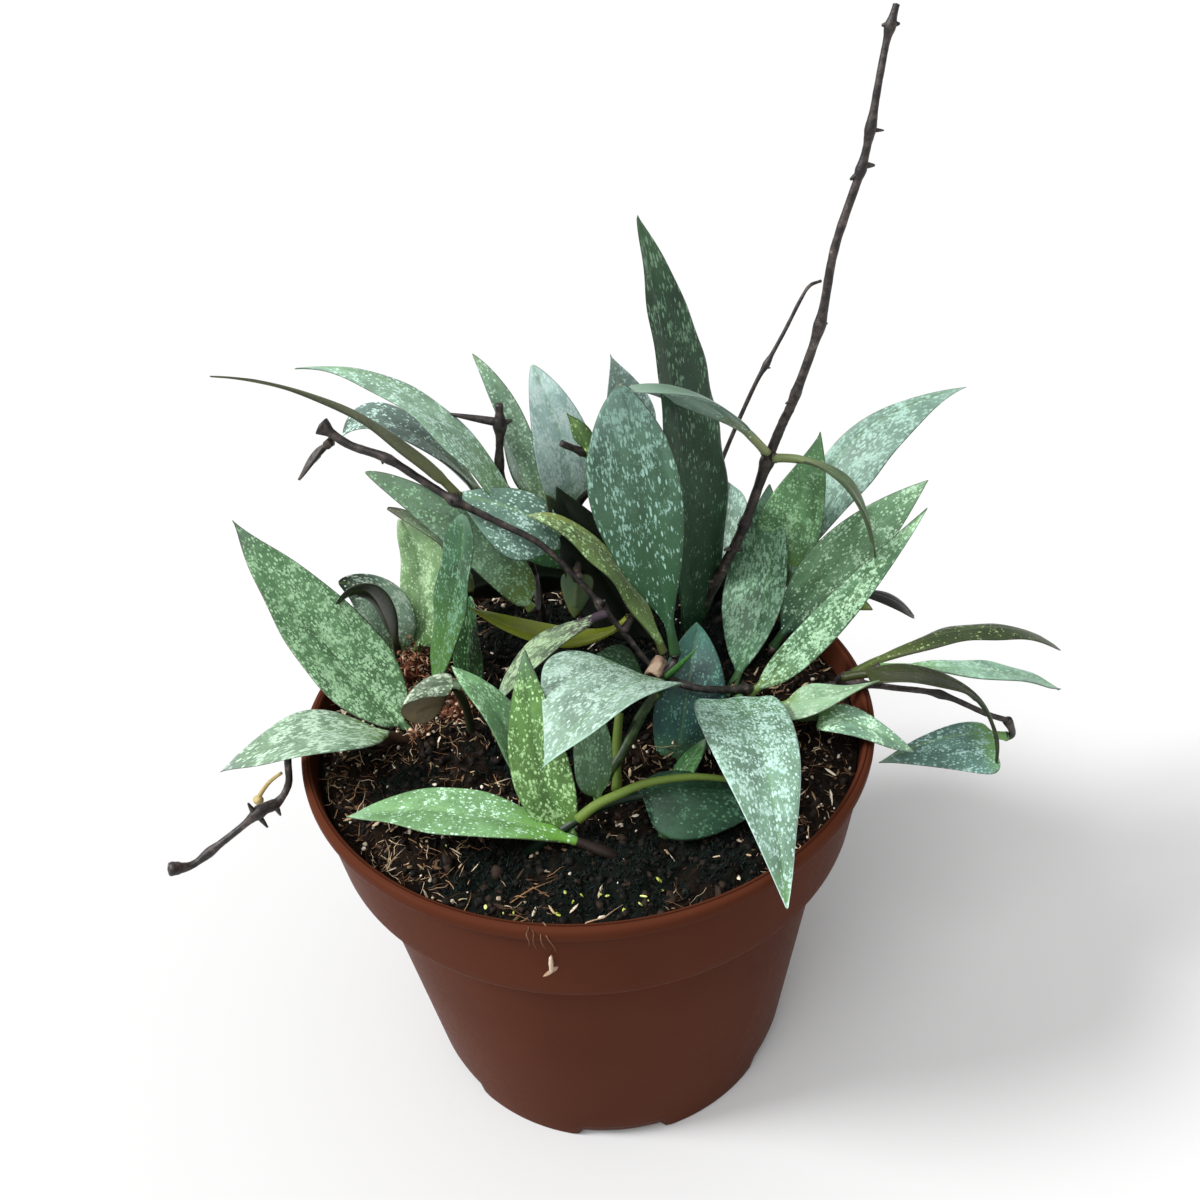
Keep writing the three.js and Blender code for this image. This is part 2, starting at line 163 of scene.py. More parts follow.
def bent(root: np.ndarray, bend: np.ndarray, tip: np.ndarray, place: np.ndarray) -> np.ndarray:
    """Points on the quadratic bend (1-t)^2 root + 2t(1-t) bend + t^2 tip."""
    t = np.asarray(place)[..., None]
    return (1 - t) ** 2 * root + 2 * t * (1 - t) * bend + t**2 * tip


def turns(count: int, dice: np.random.Generator, tilt: float = 1.0) -> np.ndarray:
    """Random turns as (count, 3, 3) matrices, made from random quaternions.

    Args:
        count: how many.
        dice: the source of chance.
        tilt: 1 turns every way, 0 only about +Z.

    Returns:
        The matrices.
    """
    w, x, y, z = unit(dice.normal(size=(count, 4)) * (1, tilt, tilt, 1)).T
    rows = (
        (1 - 2 * (y * y + z * z), 2 * (x * y - z * w), 2 * (x * z + y * w)),
        (2 * (x * y + z * w), 1 - 2 * (x * x + z * z), 2 * (y * z - x * w)),
        (2 * (x * z - y * w), 2 * (y * z + x * w), 1 - 2 * (x * x + y * y)),
    )
    return np.moveaxis(np.array(rows), -1, 0)


# ------------------------------------------------------------------- meshes


@dataclass
class Solid:
    """One or more closed skins, in mm, with values marked on their points."""

    points: np.ndarray
    faces: list[np.ndarray]
    marks: dict[str, np.ndarray] = field(default_factory=dict)

    @classmethod
    def skin(cls, rings: np.ndarray, first: np.ndarray, last: np.ndarray,
             marks: dict[str, np.ndarray] | None = None) -> "Solid":
        """Closes rings of points into skins, with a fan to a pole at each end.

        Args:
            rings: (pieces, rows, columns, 3), each row a ring round its piece.
            first: (pieces, 3) poles before the first rows.
            last: (pieces, 3) poles after the last rows.
            marks: values on the ring points, (pieces, rows, columns) or with a
                fourth axis; a pole takes the mean of its row.

        Returns:
            The skins, facing outwards.
        """
        pieces, rows, columns = rings.shape[:3]
        column = np.arange(columns)
        after = (column + 1) % columns
        row = np.arange(rows - 1)[:, None] * columns
        end = (rows - 1) * columns
        pole = np.full(columns, rows * columns)
        quads = np.stack([row + column, row + after, row + columns + after, row + columns + column], -1)
        quads = quads.reshape(-1, 4)
        fans = np.vstack([np.stack([after, column, pole], -1),
                          np.stack([end + column, end + after, pole + 1], -1)])

        def flat(values: np.ndarray, start: np.ndarray, stop: np.ndarray) -> np.ndarray:
            """Ring values and the two pole values, piece by piece.

            Args:
                values: on the rings.
                start: on the first poles.
                stop: on the last poles.

            Returns:
                One row for each point of the skins.
            """
            tail = values.shape[3:]
            return np.concatenate(
                [values.reshape(pieces, -1, *tail), start[:, None], stop[:, None]], 1
            ).reshape(-1, *tail)

        points = flat(rings, first, last)
        step = (np.arange(pieces) * (rows * columns + 2))[:, None, None]
        faces = [(quads + step).reshape(-1, 4), (fans + step).reshape(-1, 3)]
        corners = points[quads[:, :3]], points[quads[:, [0, 2, 3]]], points[fans]
        volume = sum((np.cross(c[:, 0], c[:, 1]) * c[:, 2]).sum() for c in corners)
        if volume < 0:
            faces = [f[:, ::-1] for f in faces]
        marked = {
            name: flat(values, values[:, 0].mean(1), values[:, -1].mean(1))
            for name, values in (marks or {}).items()
        }
        return cls(points, faces, marked)

    @classmethod
    def joined(cls, solids: list["Solid"]) -> "Solid":
        """Puts solids into one; each one's marks stay, and a missing mark is 0.

        Args:
            solids: what is joined, in order.

        Returns:
            One solid.
        """
        names = {name: s.marks[name] for s in solids for name in s.marks}
        offsets = np.cumsum([0] + [len(s.points) for s in solids])
        return cls(
            np.vstack([s.points for s in solids]),
            [f + offset for s, offset in zip(solids, offsets) for f in s.faces],
            {
                name: np.concatenate([
                    s.marks.get(name, np.zeros((len(s.points), *sample.shape[1:]))) for s in solids
                ])
                for name, sample in names.items()
            },
        )

    def scattered(self, places: np.ndarray, spins: np.ndarray, sizes: np.ndarray, shades: np.ndarray) -> "Solid":
        """Copies of this solid, each scaled, turned and moved.

        Args:
            places: (count, 3) centres.
            spins: (count, 3, 3) turns.
            sizes: (count, 3) scales along the solid's own axes.
            shades: (count,) values marked as "shade" on each copy.

        Returns:
            All the copies as one solid.
        """
        count, size = len(places), len(self.points)
        points = np.einsum("nij,nkj->nki", spins, self.points[None] * sizes[:, None]) + places[:, None]
        step = (np.arange(count) * size)[:, None, None]
        faces = [(f + step).reshape(-1, f.shape[1]) for f in self.faces]
        return Solid(points.reshape(-1, 3), faces, {"shade": np.repeat(shades, size)})

    def to_object(self, name: str, material: bpy.types.Material, slot: Slot) -> bpy.types.Object:
        """Makes the mesh object at the origin, in metres, riding on the root body.

        A mark named "skin" becomes the UV map, in mm; every other mark becomes a
        point attribute.

        Args:
            name: the piece's name.
            material: its finish.
            slot: not used.

        Returns:
            The object.
        """
        loops = np.concatenate([f.ravel() for f in self.faces])
        sizes = np.concatenate([np.full(len(f), f.shape[1]) for f in self.faces])
        mesh = bpy.data.meshes.new(name)
        mesh.vertices.add(len(self.points))
        mesh.vertices.foreach_set("co", (self.points * MM).astype(np.float32).ravel())
        mesh.loops.add(len(loops))
        mesh.loops.foreach_set("vertex_index", loops.astype(np.int32))
        mesh.polygons.add(len(sizes))
        mesh.polygons.foreach_set("loop_start", (np.cumsum(sizes) - sizes).astype(np.int32))
        mesh.polygons.foreach_set("use_smooth", np.ones(len(sizes), bool))
        mesh.update(calc_edges=True)
        for mark, values in self.marks.items():
            if mark == "skin":
                mesh.uv_layers.new(name=mark).data.foreach_set("uv", values[loops].astype(np.float32).ravel())
            elif values.ndim == 2:
                mesh.attributes.new(mark, "FLOAT_VECTOR", "POINT").data.foreach_set(
                    "vector", values.astype(np.float32).ravel())
            else:
                mesh.attributes.new(mark, "FLOAT", "POINT").data.foreach_set("value", values.astype(np.float32))
        mesh.validate()
        mesh.materials.append(material)
        made = bpy.data.objects.new(name, mesh)
        bpy.context.scene.collection.objects.link(made)
        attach(made, "root")
        log.info("%s: %d points, %d faces", name, len(self.points), len(sizes))
        return made


def tube(path: np.ndarray, radius: np.ndarray, sides: int) -> Solid:
    """A round tube with closed, slightly domed ends: each ring is centre + radius spoke.

    Args:
        path: (rows, 3) centres.
        radius: (rows,) radii.
        sides: points round a ring.

    Returns:
        The tube, with no marks.
    """
    rings = path[:, None] + radius[:, None, None] * spokes(path, sides)
    outwards = unit(path[[0, -1]] - path[[1, -2]])
    poles = path[[0, -1]] + outwards * radius[[0, -1], None] * DOME
    return Solid.skin(rings[None], poles[:1], poles[1:])


def hairs(starts: np.ndarray, headings: np.ndarray, lengths: np.ndarray, radii: np.ndarray, curl: np.ndarray,
          shades: np.ndarray, rows: int = 6) -> Solid:
    """Many thin curved hairs as one solid.

    A hair's line is start + heading length t + curl t^2, plus a sideways sine
    wave of 6 percent of its length, and its radius falls as 1 - 0.75 t^2.

    Args:
        starts: (count, 3) places.
        headings: (count, 3) directions.
        lengths: (count,) mm.
        radii: (count,) mm at the start.
        curl: (count, 3) how far the end is carried off its line, in mm.
        shades: (count,) values marked as "shade".
        rows: rings on each hair.

    Returns:
        All the hairs as one solid.
    """
    t = np.linspace(0, 1, rows)[None, :, None]
    path = starts[:, None] + unit(headings)[:, None] * lengths[:, None, None] * t + curl[:, None] * t**2
    path = path + 0.06 * lengths[:, None, None] * np.sin(9 * t + shades[:, None, None] * 40) * unit(
        np.cross(headings, curl + 1e-6))[:, None]
    radius = radii[:, None, None, None] * (1 - 0.75 * t[..., None] ** 2)
    rings = path[:, :, None] + radius * spokes(path, HAIR_SIDES)
    shade = np.broadcast_to(shades[:, None, None], rings.shape[:3])
    return Solid.skin(rings, path[:, 0], path[:, -1], {"shade": shade})


def lump(rows: int = 4, columns: int = 6, unevenness: float = 0.25, seed: int = 3) -> Solid:
    """An uneven pebble of radius about 1: a ball of latitude rings, each point at 1 + noise.

    Args:
        rows: latitude rings between the poles.
        columns: points round each ring.
        unevenness: how far the noise reaches either way.
        seed: picks the noise.

    Returns:
        The pebble, round the origin.
    """
    height = np.linspace(-1, 1, rows + 2)[1:-1] * 0.98
    ring = np.sqrt(1 - height**2)[:, None]
    cosine, sine = circle(columns).T
    ball = np.stack([ring * cosine, ring * sine, height[:, None] + 0 * cosine], -1)
    ball = ball * (1 + unevenness * np.random.default_rng(seed).uniform(-1, 1, ball.shape[:2]))[..., None]
    return Solid.skin(ball[None], np.array([[0, 0, -1.0]]), np.array([[0, 0, 1.0]]))


# ---------------------------------------------------------------- materials


def linear(colour: str) -> tuple[float, float, float, float]:
    """Turns an sRGB hex colour into linear light, with the usual two-part curve.

    Args:
        colour: six hex digits.

    Returns:
        Red, green and blue from 0 to 1, and an alpha of 1.
    """
    parts = np.array([int(colour[i:i + 2], 16) for i in (0, 2, 4)]) / 255
    light = np.where(parts <= 0.04045, parts / 12.92, ((parts + 0.055) / 1.055) ** 2.4)
    return (*map(float, light), 1.0)


def add(tree: bpy.types.NodeTree, kind: str, sockets: dict | None = None, take: str | None = None,
        stops: list | None = None, **settings: object) -> bpy.types.NodeSocket:
    """Adds a node with its settings and links.

    Args:
        tree: where the node goes.
        kind: its Blender type, without the leading ShaderNode.
        sockets: what goes into it by socket name or number: a colour as hex, a
            number, or another node's output.
        take: the output to give back, or the first one that is in use.
        stops: a colour ramp's stops as (place, hex colour or grey).
        settings: the node's own properties.

    Returns:
        One of its outputs.
    """
    made = tree.nodes.new("ShaderNode" + kind)
    for name, value in settings.items():
        setattr(made, name, value)
    for key, value in (sockets or {}).items():
        socket = made.inputs[key] if isinstance(key, int) else next(
            s for s in made.inputs if s.enabled and s.name == key)
        if isinstance(value, bpy.types.NodeSocket):
            tree.links.new(value, socket)
        else:
            socket.default_value = linear(value) if isinstance(value, str) else value
    for number, (place, tone) in enumerate(stops or []):
        stop = made.color_ramp.elements[number] if number < 2 else made.color_ramp.elements.new(place)
        stop.position = place
        stop.color = linear(tone) if isinstance(tone, str) else (tone, tone, tone, 1)
    return made.outputs[take] if take else next(s for s in made.outputs if s.enabled)


def finish(name: str, roughness: float, ior: float, **constants: float) -> tuple[
        bpy.types.Material, bpy.types.NodeTree, bpy.types.Node]:
    """Starts a material whose shader has its constants on its own sockets.

    Args:
        name: the finish's name.
        roughness: how matt it is.
        ior: its index of refraction.
        constants: other shader sockets by name, with _ for a space.

    Returns:
        The material, its node tree and its shader node.
    """
    material = bpy.data.materials.new(name)
    material.use_nodes = True
    tree = material.node_tree
    shader = next(n for n in tree.nodes if n.type == "BSDF_PRINCIPLED")
    shader.inputs["Roughness"].default_value = roughness
    shader.inputs["IOR"].default_value = ior
    for socket, value in constants.items():
        shader.inputs[socket.replace("_", " ")].default_value = value
    return material, tree, shader


@dataclass(frozen=True)
class LeafSkin:
    """The waxy skin of a hoya leaf.

    It is a cuticle over green tissue, with pale flecks where air lies under the
    cuticle: the eye gets a satin green with mint-white splashes about half a
    millimetre wide, and a plain, duller underside.
    """

    slot: Slot = Slot.FRESH
    light: str = "5e8c54"
    dark: str = "416f44"
    fleck: str = "b4dcae"
    under: str = "66743f"
    root: str = "6f8f42"
    tip: str = "6d8a6c"
    margin: str = "3a3a2c"
    rib: str = "6f9a62"
    stalk: str = ""  # as the root where none is given
    band: str = ""  # a second tone on one side of the rib, if any
    band_from: float = 0.2
    flecks: tuple[float, float, float] = (0.26, 0.26, 0.12)  # how thick at the root, middle and tip
    fleck_size: tuple[float, float] = (0.55, 0.85)
    root_until: float = 0.3
    tip_from: float = 0.82
    margin_width: float = 0.22
    roughness: float = 0.42

    # Sizes of the patterns, in mm.
    CLOUD = (5.0, 11.0)
    GRAIN = 0.625
    CLUSTER = 3.6
    DOT_CELL = 0.7
    RIB_LINE = (0.1, 0.5)
    LEATHER = 1 / 3
    RELIEF = 0.12

    def tinted(self, tones: str, **others: object) -> "LeafSkin":
        """This skin in one leaf's own tones.

        Args:
            tones: light, dark, fleck, under, root, tip and rib, as hex colours.
            others: any other fields, by name.

        Returns:
            The new skin.
        """
        names = ("light", "dark", "fleck", "under", "root", "tip", "rib")
        return replace(self, **dict(zip(names, tones.split())), **others)

    def material(self, name: str) -> bpy.types.Material:
        """Builds the skin from the leaf's own map of mm across and along.

        Args:
            name: the material's name.

        Returns:
            The material.
        """
        material, tree, shader = finish(name, self.roughness, 1.45, Specular_IOR_Level=0.32)
        flat = add(tree, "UVMap", uv_map="skin")
        leaf = add(tree, "Attribute", take="Vector", attribute_name="leaf")
        place = tree.nodes.new("ShaderNodeSeparateXYZ")
        tree.links.new(leaf, place.inputs[0])
        across, along, face = place.outputs
        edge = add(tree, "Attribute", take="Fac", attribute_name="edge")

        # Tissue: clouds a few mm wide, drawn out along the leaf, with a fine grain.
        drawn = add(tree, "Mapping", {"Vector": flat, "Scale": (1 / self.CLOUD[0], 1 / self.CLOUD[1], 1)})
        cloud = add(tree, "TexNoise", {"Vector": drawn, "Scale": 1.0, "Detail": 3.0, "Distortion": 0.6},
                    noise_dimensions="2D")
        grain = add(tree, "TexNoise", {"Vector": flat, "Scale": 1 / self.GRAIN, "Detail": 2.0},
                    noise_dimensions="2D")
        tissue = add(tree, "Math", {0: cloud, 1: add(tree, "Math", {0: grain, 1: 0.35}, operation="MULTIPLY")},
                     operation="ADD")
        tone = add(tree, "MapRange", {"Value": tissue, "From Min": 0.5, "From Max": 0.86})
        colour = add(tree, "Mix", {"Factor": tone, "A": self.dark, "B": self.light}, data_type="RGBA")
        shaded = add(tree, "Mix", {"Factor": tone, "A": self.dark, "B": self.under}, data_type="RGBA")

        # Where the leaf changes: along a band on one side of the rib, and at its root and tip.
        layers = []
        if self.band:
            side = add(tree, "MapRange", {"Value": across, "From Min": self.band_from - 0.12,
                                          "From Max": self.band_from + 0.12}, interpolation_type="SMOOTHSTEP")
            layers.append((side, self.band))
        by_root = add(tree, "MapRange", {"Value": along, "From Min": self.root_until, "From Max": 0.0},
                      interpolation_type="SMOOTHSTEP")
        by_tip = add(tree, "MapRange", {"Value": along, "From Min": self.tip_from, "From Max": 1.0},
                     interpolation_type="SMOOTHSTEP")

        # The midrib shows as a faint line half a millimetre wide to each side.
        offset = add(tree, "SeparateXYZ", {0: flat}, take="X")
        near_rib = add(tree, "MapRange", {"Value": add(tree, "Math", {0: offset}, operation="ABSOLUTE"),
                                          "From Min": self.RIB_LINE[1], "From Max": self.RIB_LINE[0],
                                          "To Max": 0.35})

        # Flecks: islands of a fine noise, thick where a coarser noise is high.
        wide, long = self.fleck_size
        stretched = add(tree, "Mapping", {"Vector": flat, "Scale": (1 / wide, 1 / long, 1)})
        islands = add(tree, "TexNoise", {"Vector": stretched, "Scale": 0.8, "Detail": 4.0, "Roughness": 0.72,
                                         "Distortion": 0.2}, noise_dimensions="2D")
        crowd = add(tree, "TexNoise", {"Vector": flat, "Scale": 1 / self.CLUSTER, "Detail": 2.0},
                    noise_dimensions="2D")
        thick = add(tree, "Math", {0: crowd, 1: 0.6, 2: islands}, operation="MULTIPLY_ADD")
        share = add(tree, "ValToRGB", {0: along}, stops=[
            (0.0, self.flecks[0]), (1.0, self.flecks[2]), (0.5, self.flecks[1])])
        level = add(tree, "Math", {0: share, 1: 0.55, 2: thick}, operation="MULTIPLY_ADD")
        splashes = add(tree, "MapRange", {"Value": level, "From Min": 1.0, "From Max": 1.06},
                       interpolation_type="SMOOTHSTEP")
        uneven = add(tree, "MapRange", {"Value": grain, "From Min": 0.35, "From Max": 0.6, "To Min": 0.45,
                                        "To Max": 1.0})
        splashes = add(tree, "Math", {0: splashes, 1: uneven}, operation="MULTIPLY")

        # Among them lie dots of 0.2 to 0.6 mm, one to a cell, each cell with a size of its own.
        cell = add(tree, "Mapping", {"Vector": flat, "Scale": (
            1 / self.DOT_CELL, 1 / (self.DOT_CELL * long / wide), 1)})
        dot = tree.nodes.new("ShaderNodeTexVoronoi")
        dot.voronoi_dimensions = "2D"
        dot.inputs["Scale"].default_value = 1.0
        tree.links.new(cell, dot.inputs["Vector"])
        own = add(tree, "SeparateColor", {0: dot.outputs["Color"]})
        reach = add(tree, "Math", {0: own, 1: 0.62, 2: add(tree, "Math", {0: share, 1: 0.75, 2: -0.42},
                                                          operation="MULTIPLY_ADD")}, operation="MULTIPLY_ADD")
        inside = add(tree, "Math", {0: reach, 1: dot.outputs["Distance"]}, operation="SUBTRACT")
        dots = add(tree, "MapRange", {"Value": inside, "From Min": -0.02, "From Max": 0.08})
        spots = add(tree, "Math", {0: splashes, 1: dots}, operation="MAXIMUM")

        # The thin margin, the underside and the stalk have their own tones.
        rim = add(tree, "MapRange", {"Value": edge, "From Min": self.margin_width, "From Max": 0.0,
                                     "To Max": 0.85})
        below = add(tree, "MapRange", {"Value": face, "From Min": 0.02, "From Max": -0.12})
        on_stalk = add(tree, "MapRange", {"Value": along, "From Min": 0.01, "From Max": -0.06})

        layers += [(by_root, self.root), (by_tip, self.tip), (near_rib, self.rib), (spots, self.fleck),
                   (rim, self.margin), (below, shaded), (on_stalk, self.stalk or self.root)]
        for factor, over in layers:
            colour = add(tree, "Mix", {"Factor": factor, "A": colour, "B": over}, data_type="RGBA")
        tree.links.new(colour, shader.inputs["Base Color"])

        # Leathery grain, a little raised where the flecks lie.
        leather = add(tree, "TexNoise", {"Vector": flat, "Scale": 1 / self.LEATHER, "Detail": 2.0},
                      noise_dimensions="2D")
        relief = add(tree, "Math", {0: spots, 1: 0.25, 2: leather}, operation="MULTIPLY_ADD")
        bump = add(tree, "Bump", {"Height": relief, "Strength": 0.35, "Distance": self.RELIEF * MM})
        tree.links.new(bump, shader.inputs["Normal"])
        return material


FRESH = LeafSkin()
LIME = LeafSkin(Slot.LIME, light="86ab55", dark="5d8a45", fleck="c4e2a8", under="6f7d3c", tip="8ba468")
TEAL = LeafSkin(Slot.TEAL, light="4d8a6d", dark="356a56", fleck="a4d4bf", under="45604a", root="5b8a52",
                tip="6f9a88")
SILVER = LeafSkin(Slot.SILVER, light="6d9585", dark="4a7566", fleck="b8dccb", under="5c6c4e", root="5f8a5f",
                  tip="86aa9c", flecks=(0.3, 0.36, 0.28), fleck_size=(0.5, 1.2))
DEEP = LeafSkin(Slot.DEEP, light="35583d", dark="21402c", fleck="7fa886", under="3d4a2c", root="3f6134",
                tip="4a6a52", flecks=(0.12, 0.2, 0.26), rib="4a7050")
OLIVE = LeafSkin(Slot.OLIVE, light="5a6b3a", dark="434f2c", fleck="93a878", under="59653a", root="5f6a38",
                 tip="5a5a40", flecks=(0.08, 0.08, 0.05), rib="67753f")


@dataclass(frozen=True)
class Bark:
    """Dry bark of a hoya stem, a thin cork: near-black brown and satin, worn to patches of grey-brown."""

    dark: str = "171211"
    worn: str = "463c38"
    pale: str = "988c80"

    # Sizes of the patterns, in mm.
    PATCH = 2.2
    WRINKLE = 0.4

    def material(self, name: str) -> bpy.types.Material:
        """Builds the bark on object coordinates: patches of about 2 mm and wrinkles of about 0.4 mm.

        Args:
            name: the material's name.

        Returns:
            The material.
        """
        material, tree, shader = finish(name, 0.5, 1.48)
        place = add(tree, "TexCoord", take="Object")
        coarse = add(tree, "TexNoise", {"Vector": place, "Scale": 1 / (self.PATCH * MM), "Detail": 4.0,
                                        "Roughness": 0.65})
        colour = add(tree, "ValToRGB", {0: coarse}, stops=[
            (0.45, self.dark), (0.82, self.pale), (0.64, self.worn)])
        tree.links.new(colour, shader.inputs["Base Color"])
        fine = add(tree, "TexNoise", {"Vector": place, "Scale": 1 / (self.WRINKLE * MM), "Detail": 3.0})
        bump = add(tree, "Bump", {"Height": fine, "Strength": 0.6, "Distance": 0.15 * MM})
        tree.links.new(bump, shader.inputs["Normal"])
        return material


@dataclass(frozen=True)
class PotPlastic:
    """Moulded polypropylene in terracotta brown: matt, with faint flow marks and dust.

    Its specular level is far below the plastic's own, because at the usual level
    the pale floor lays a grey sheen on it that the photo hardly shows.
    """

    body: str = "4f2a1c"
    deep: str = "4a2619"
    dust: str = "644030"

    # Sizes of the patterns, in mm.
    FLOW = 38.0
    DUST = 1.3
    GRAIN = 0.5

    def material(self, name: str) -> bpy.types.Material:
        """Builds the plastic on object coordinates: broad tone, scuffs and a fine moulded grain.

        Args:
            name: the material's name.

        Returns:
            The material.
        """
        material, tree, shader = finish(name, 0.36, 1.49, Specular_IOR_Level=0.008)
        place = add(tree, "TexCoord", take="Object")
        broad = add(tree, "TexNoise", {"Vector": place, "Scale": 1 / (self.FLOW * MM), "Detail": 2.0})
        tone = add(tree, "MapRange", {"Value": broad, "From Min": 0.35, "From Max": 0.65})
        colour = add(tree, "Mix", {"Factor": tone, "A": self.deep, "B": self.body}, data_type="RGBA")
        dust = add(tree, "TexNoise", {"Vector": place, "Scale": 1 / (self.DUST * MM), "Detail": 5.0,
                                      "Roughness": 0.7})
        dusty = add(tree, "MapRange", {"Value": dust, "From Min": 0.62, "From Max": 0.8, "To Max": 0.25})
        colour = add(tree, "Mix", {"Factor": dusty, "A": colour, "B": self.dust}, data_type="RGBA")
        tree.links.new(colour, shader.inputs["Base Color"])
        wear = add(tree, "MapRange", {"Value": dust, "From Min": 0.3, "From Max": 0.8, "To Min": 0.3,
                                      "To Max": 0.46})
        tree.links.new(wear, shader.inputs["Roughness"])
        moulded = add(tree, "TexNoise", {"Vector": place, "Scale": 1 / (self.GRAIN * MM), "Detail": 2.0})
        bump = add(tree, "Bump", {"Height": moulded, "Strength": 0.12, "Distance": 0.08 * MM})
        tree.links.new(bump, shader.inputs["Normal"])
        return material


@dataclass(frozen=True)
class Peat:
    """Damp peat and coir: near-black to dark brown, quite dull, with blue-green patches that are partly moss and
    partly painted shade.

    Peat is a fine dust with crumbs in it; the crumbs are drawn coarser than real, to show.
    """

    dark: str = "080605"
    brown: str = "241a12"
    moss_and_shade: str = "08110e"

    CRUMB = 1.6  # mm

    def material(self, name: str) -> bpy.types.Material:
        """Builds the peat on object coordinates, in crumbs of 1 to 2 mm.

        Args:
            name: the material's name.

        Returns:
            The material.
        """
        material, tree, shader = finish(name, 1.0, 1.4, Specular_IOR_Level=0.15)
        place = add(tree, "TexCoord", take="Object")
        crumbs = add(tree, "TexNoise", {"Vector": place, "Scale": 1 / (self.CRUMB * MM), "Detail": 5.0,
                                        "Roughness": 0.7})
        colour = add(tree, "ValToRGB", {0: crumbs}, stops=[(0.38, self.dark), (0.68, self.brown)])
        # Painted shade: the dark patches are moss at the front and painted shade in the middle and at the back.
        patches = add(tree, "Attribute", take="Fac", attribute_name="moss_and_shade")
        colour = add(tree, "Mix", {"Factor": patches, "A": colour, "B": self.moss_and_shade}, data_type="RGBA")
        tree.links.new(colour, shader.inputs["Base Color"])
        bump = add(tree, "Bump", {"Height": crumbs, "Strength": 0.9, "Distance": 0.6 * MM})
        tree.links.new(bump, shader.inputs["Normal"])
        return material


@dataclass(frozen=True)
class Litter:
    """Loose bits or a small growth of one stuff: dull, each bit with its own shade of a ramp of tones."""

    tones: tuple[str, ...]
    roughness: float = 0.8

    MOTTLE = 0.5  # mm

    def material(self, name: str) -> bpy.types.Material:
        """Spreads the tones over the "shade" attribute, with a fine mottle.

        Args:
            name: the material's name.

        Returns:
            The material.
        """
        material, tree, shader = finish(name, self.roughness, 1.45, Specular_IOR_Level=0.3)
        shade = add(tree, "Attribute", take="Fac", attribute_name="shade")
        place = add(tree, "TexCoord", take="Object")
        mottle = add(tree, "TexNoise", {"Vector": place, "Scale": 1 / (self.MOTTLE * MM), "Detail": 2.0})
        mixed = add(tree, "Math", {0: mottle, 1: 0.4, 2: add(
            tree, "Math", {0: shade, 1: 0.2}, operation="SUBTRACT")}, operation="MULTIPLY_ADD")
        step = 1 / (len(self.tones) - 1)
        ends = [(0.0, self.tones[0]), (1.0, self.tones[-1])]
        middle = [(step * k, self.tones[k]) for k in range(1, len(self.tones) - 1)]
        colour = add(tree, "ValToRGB", {0: mixed}, stops=ends + middle)
        tree.links.new(colour, shader.inputs["Base Color"])
        return material


# ------------------------------------------------------------------- leaves


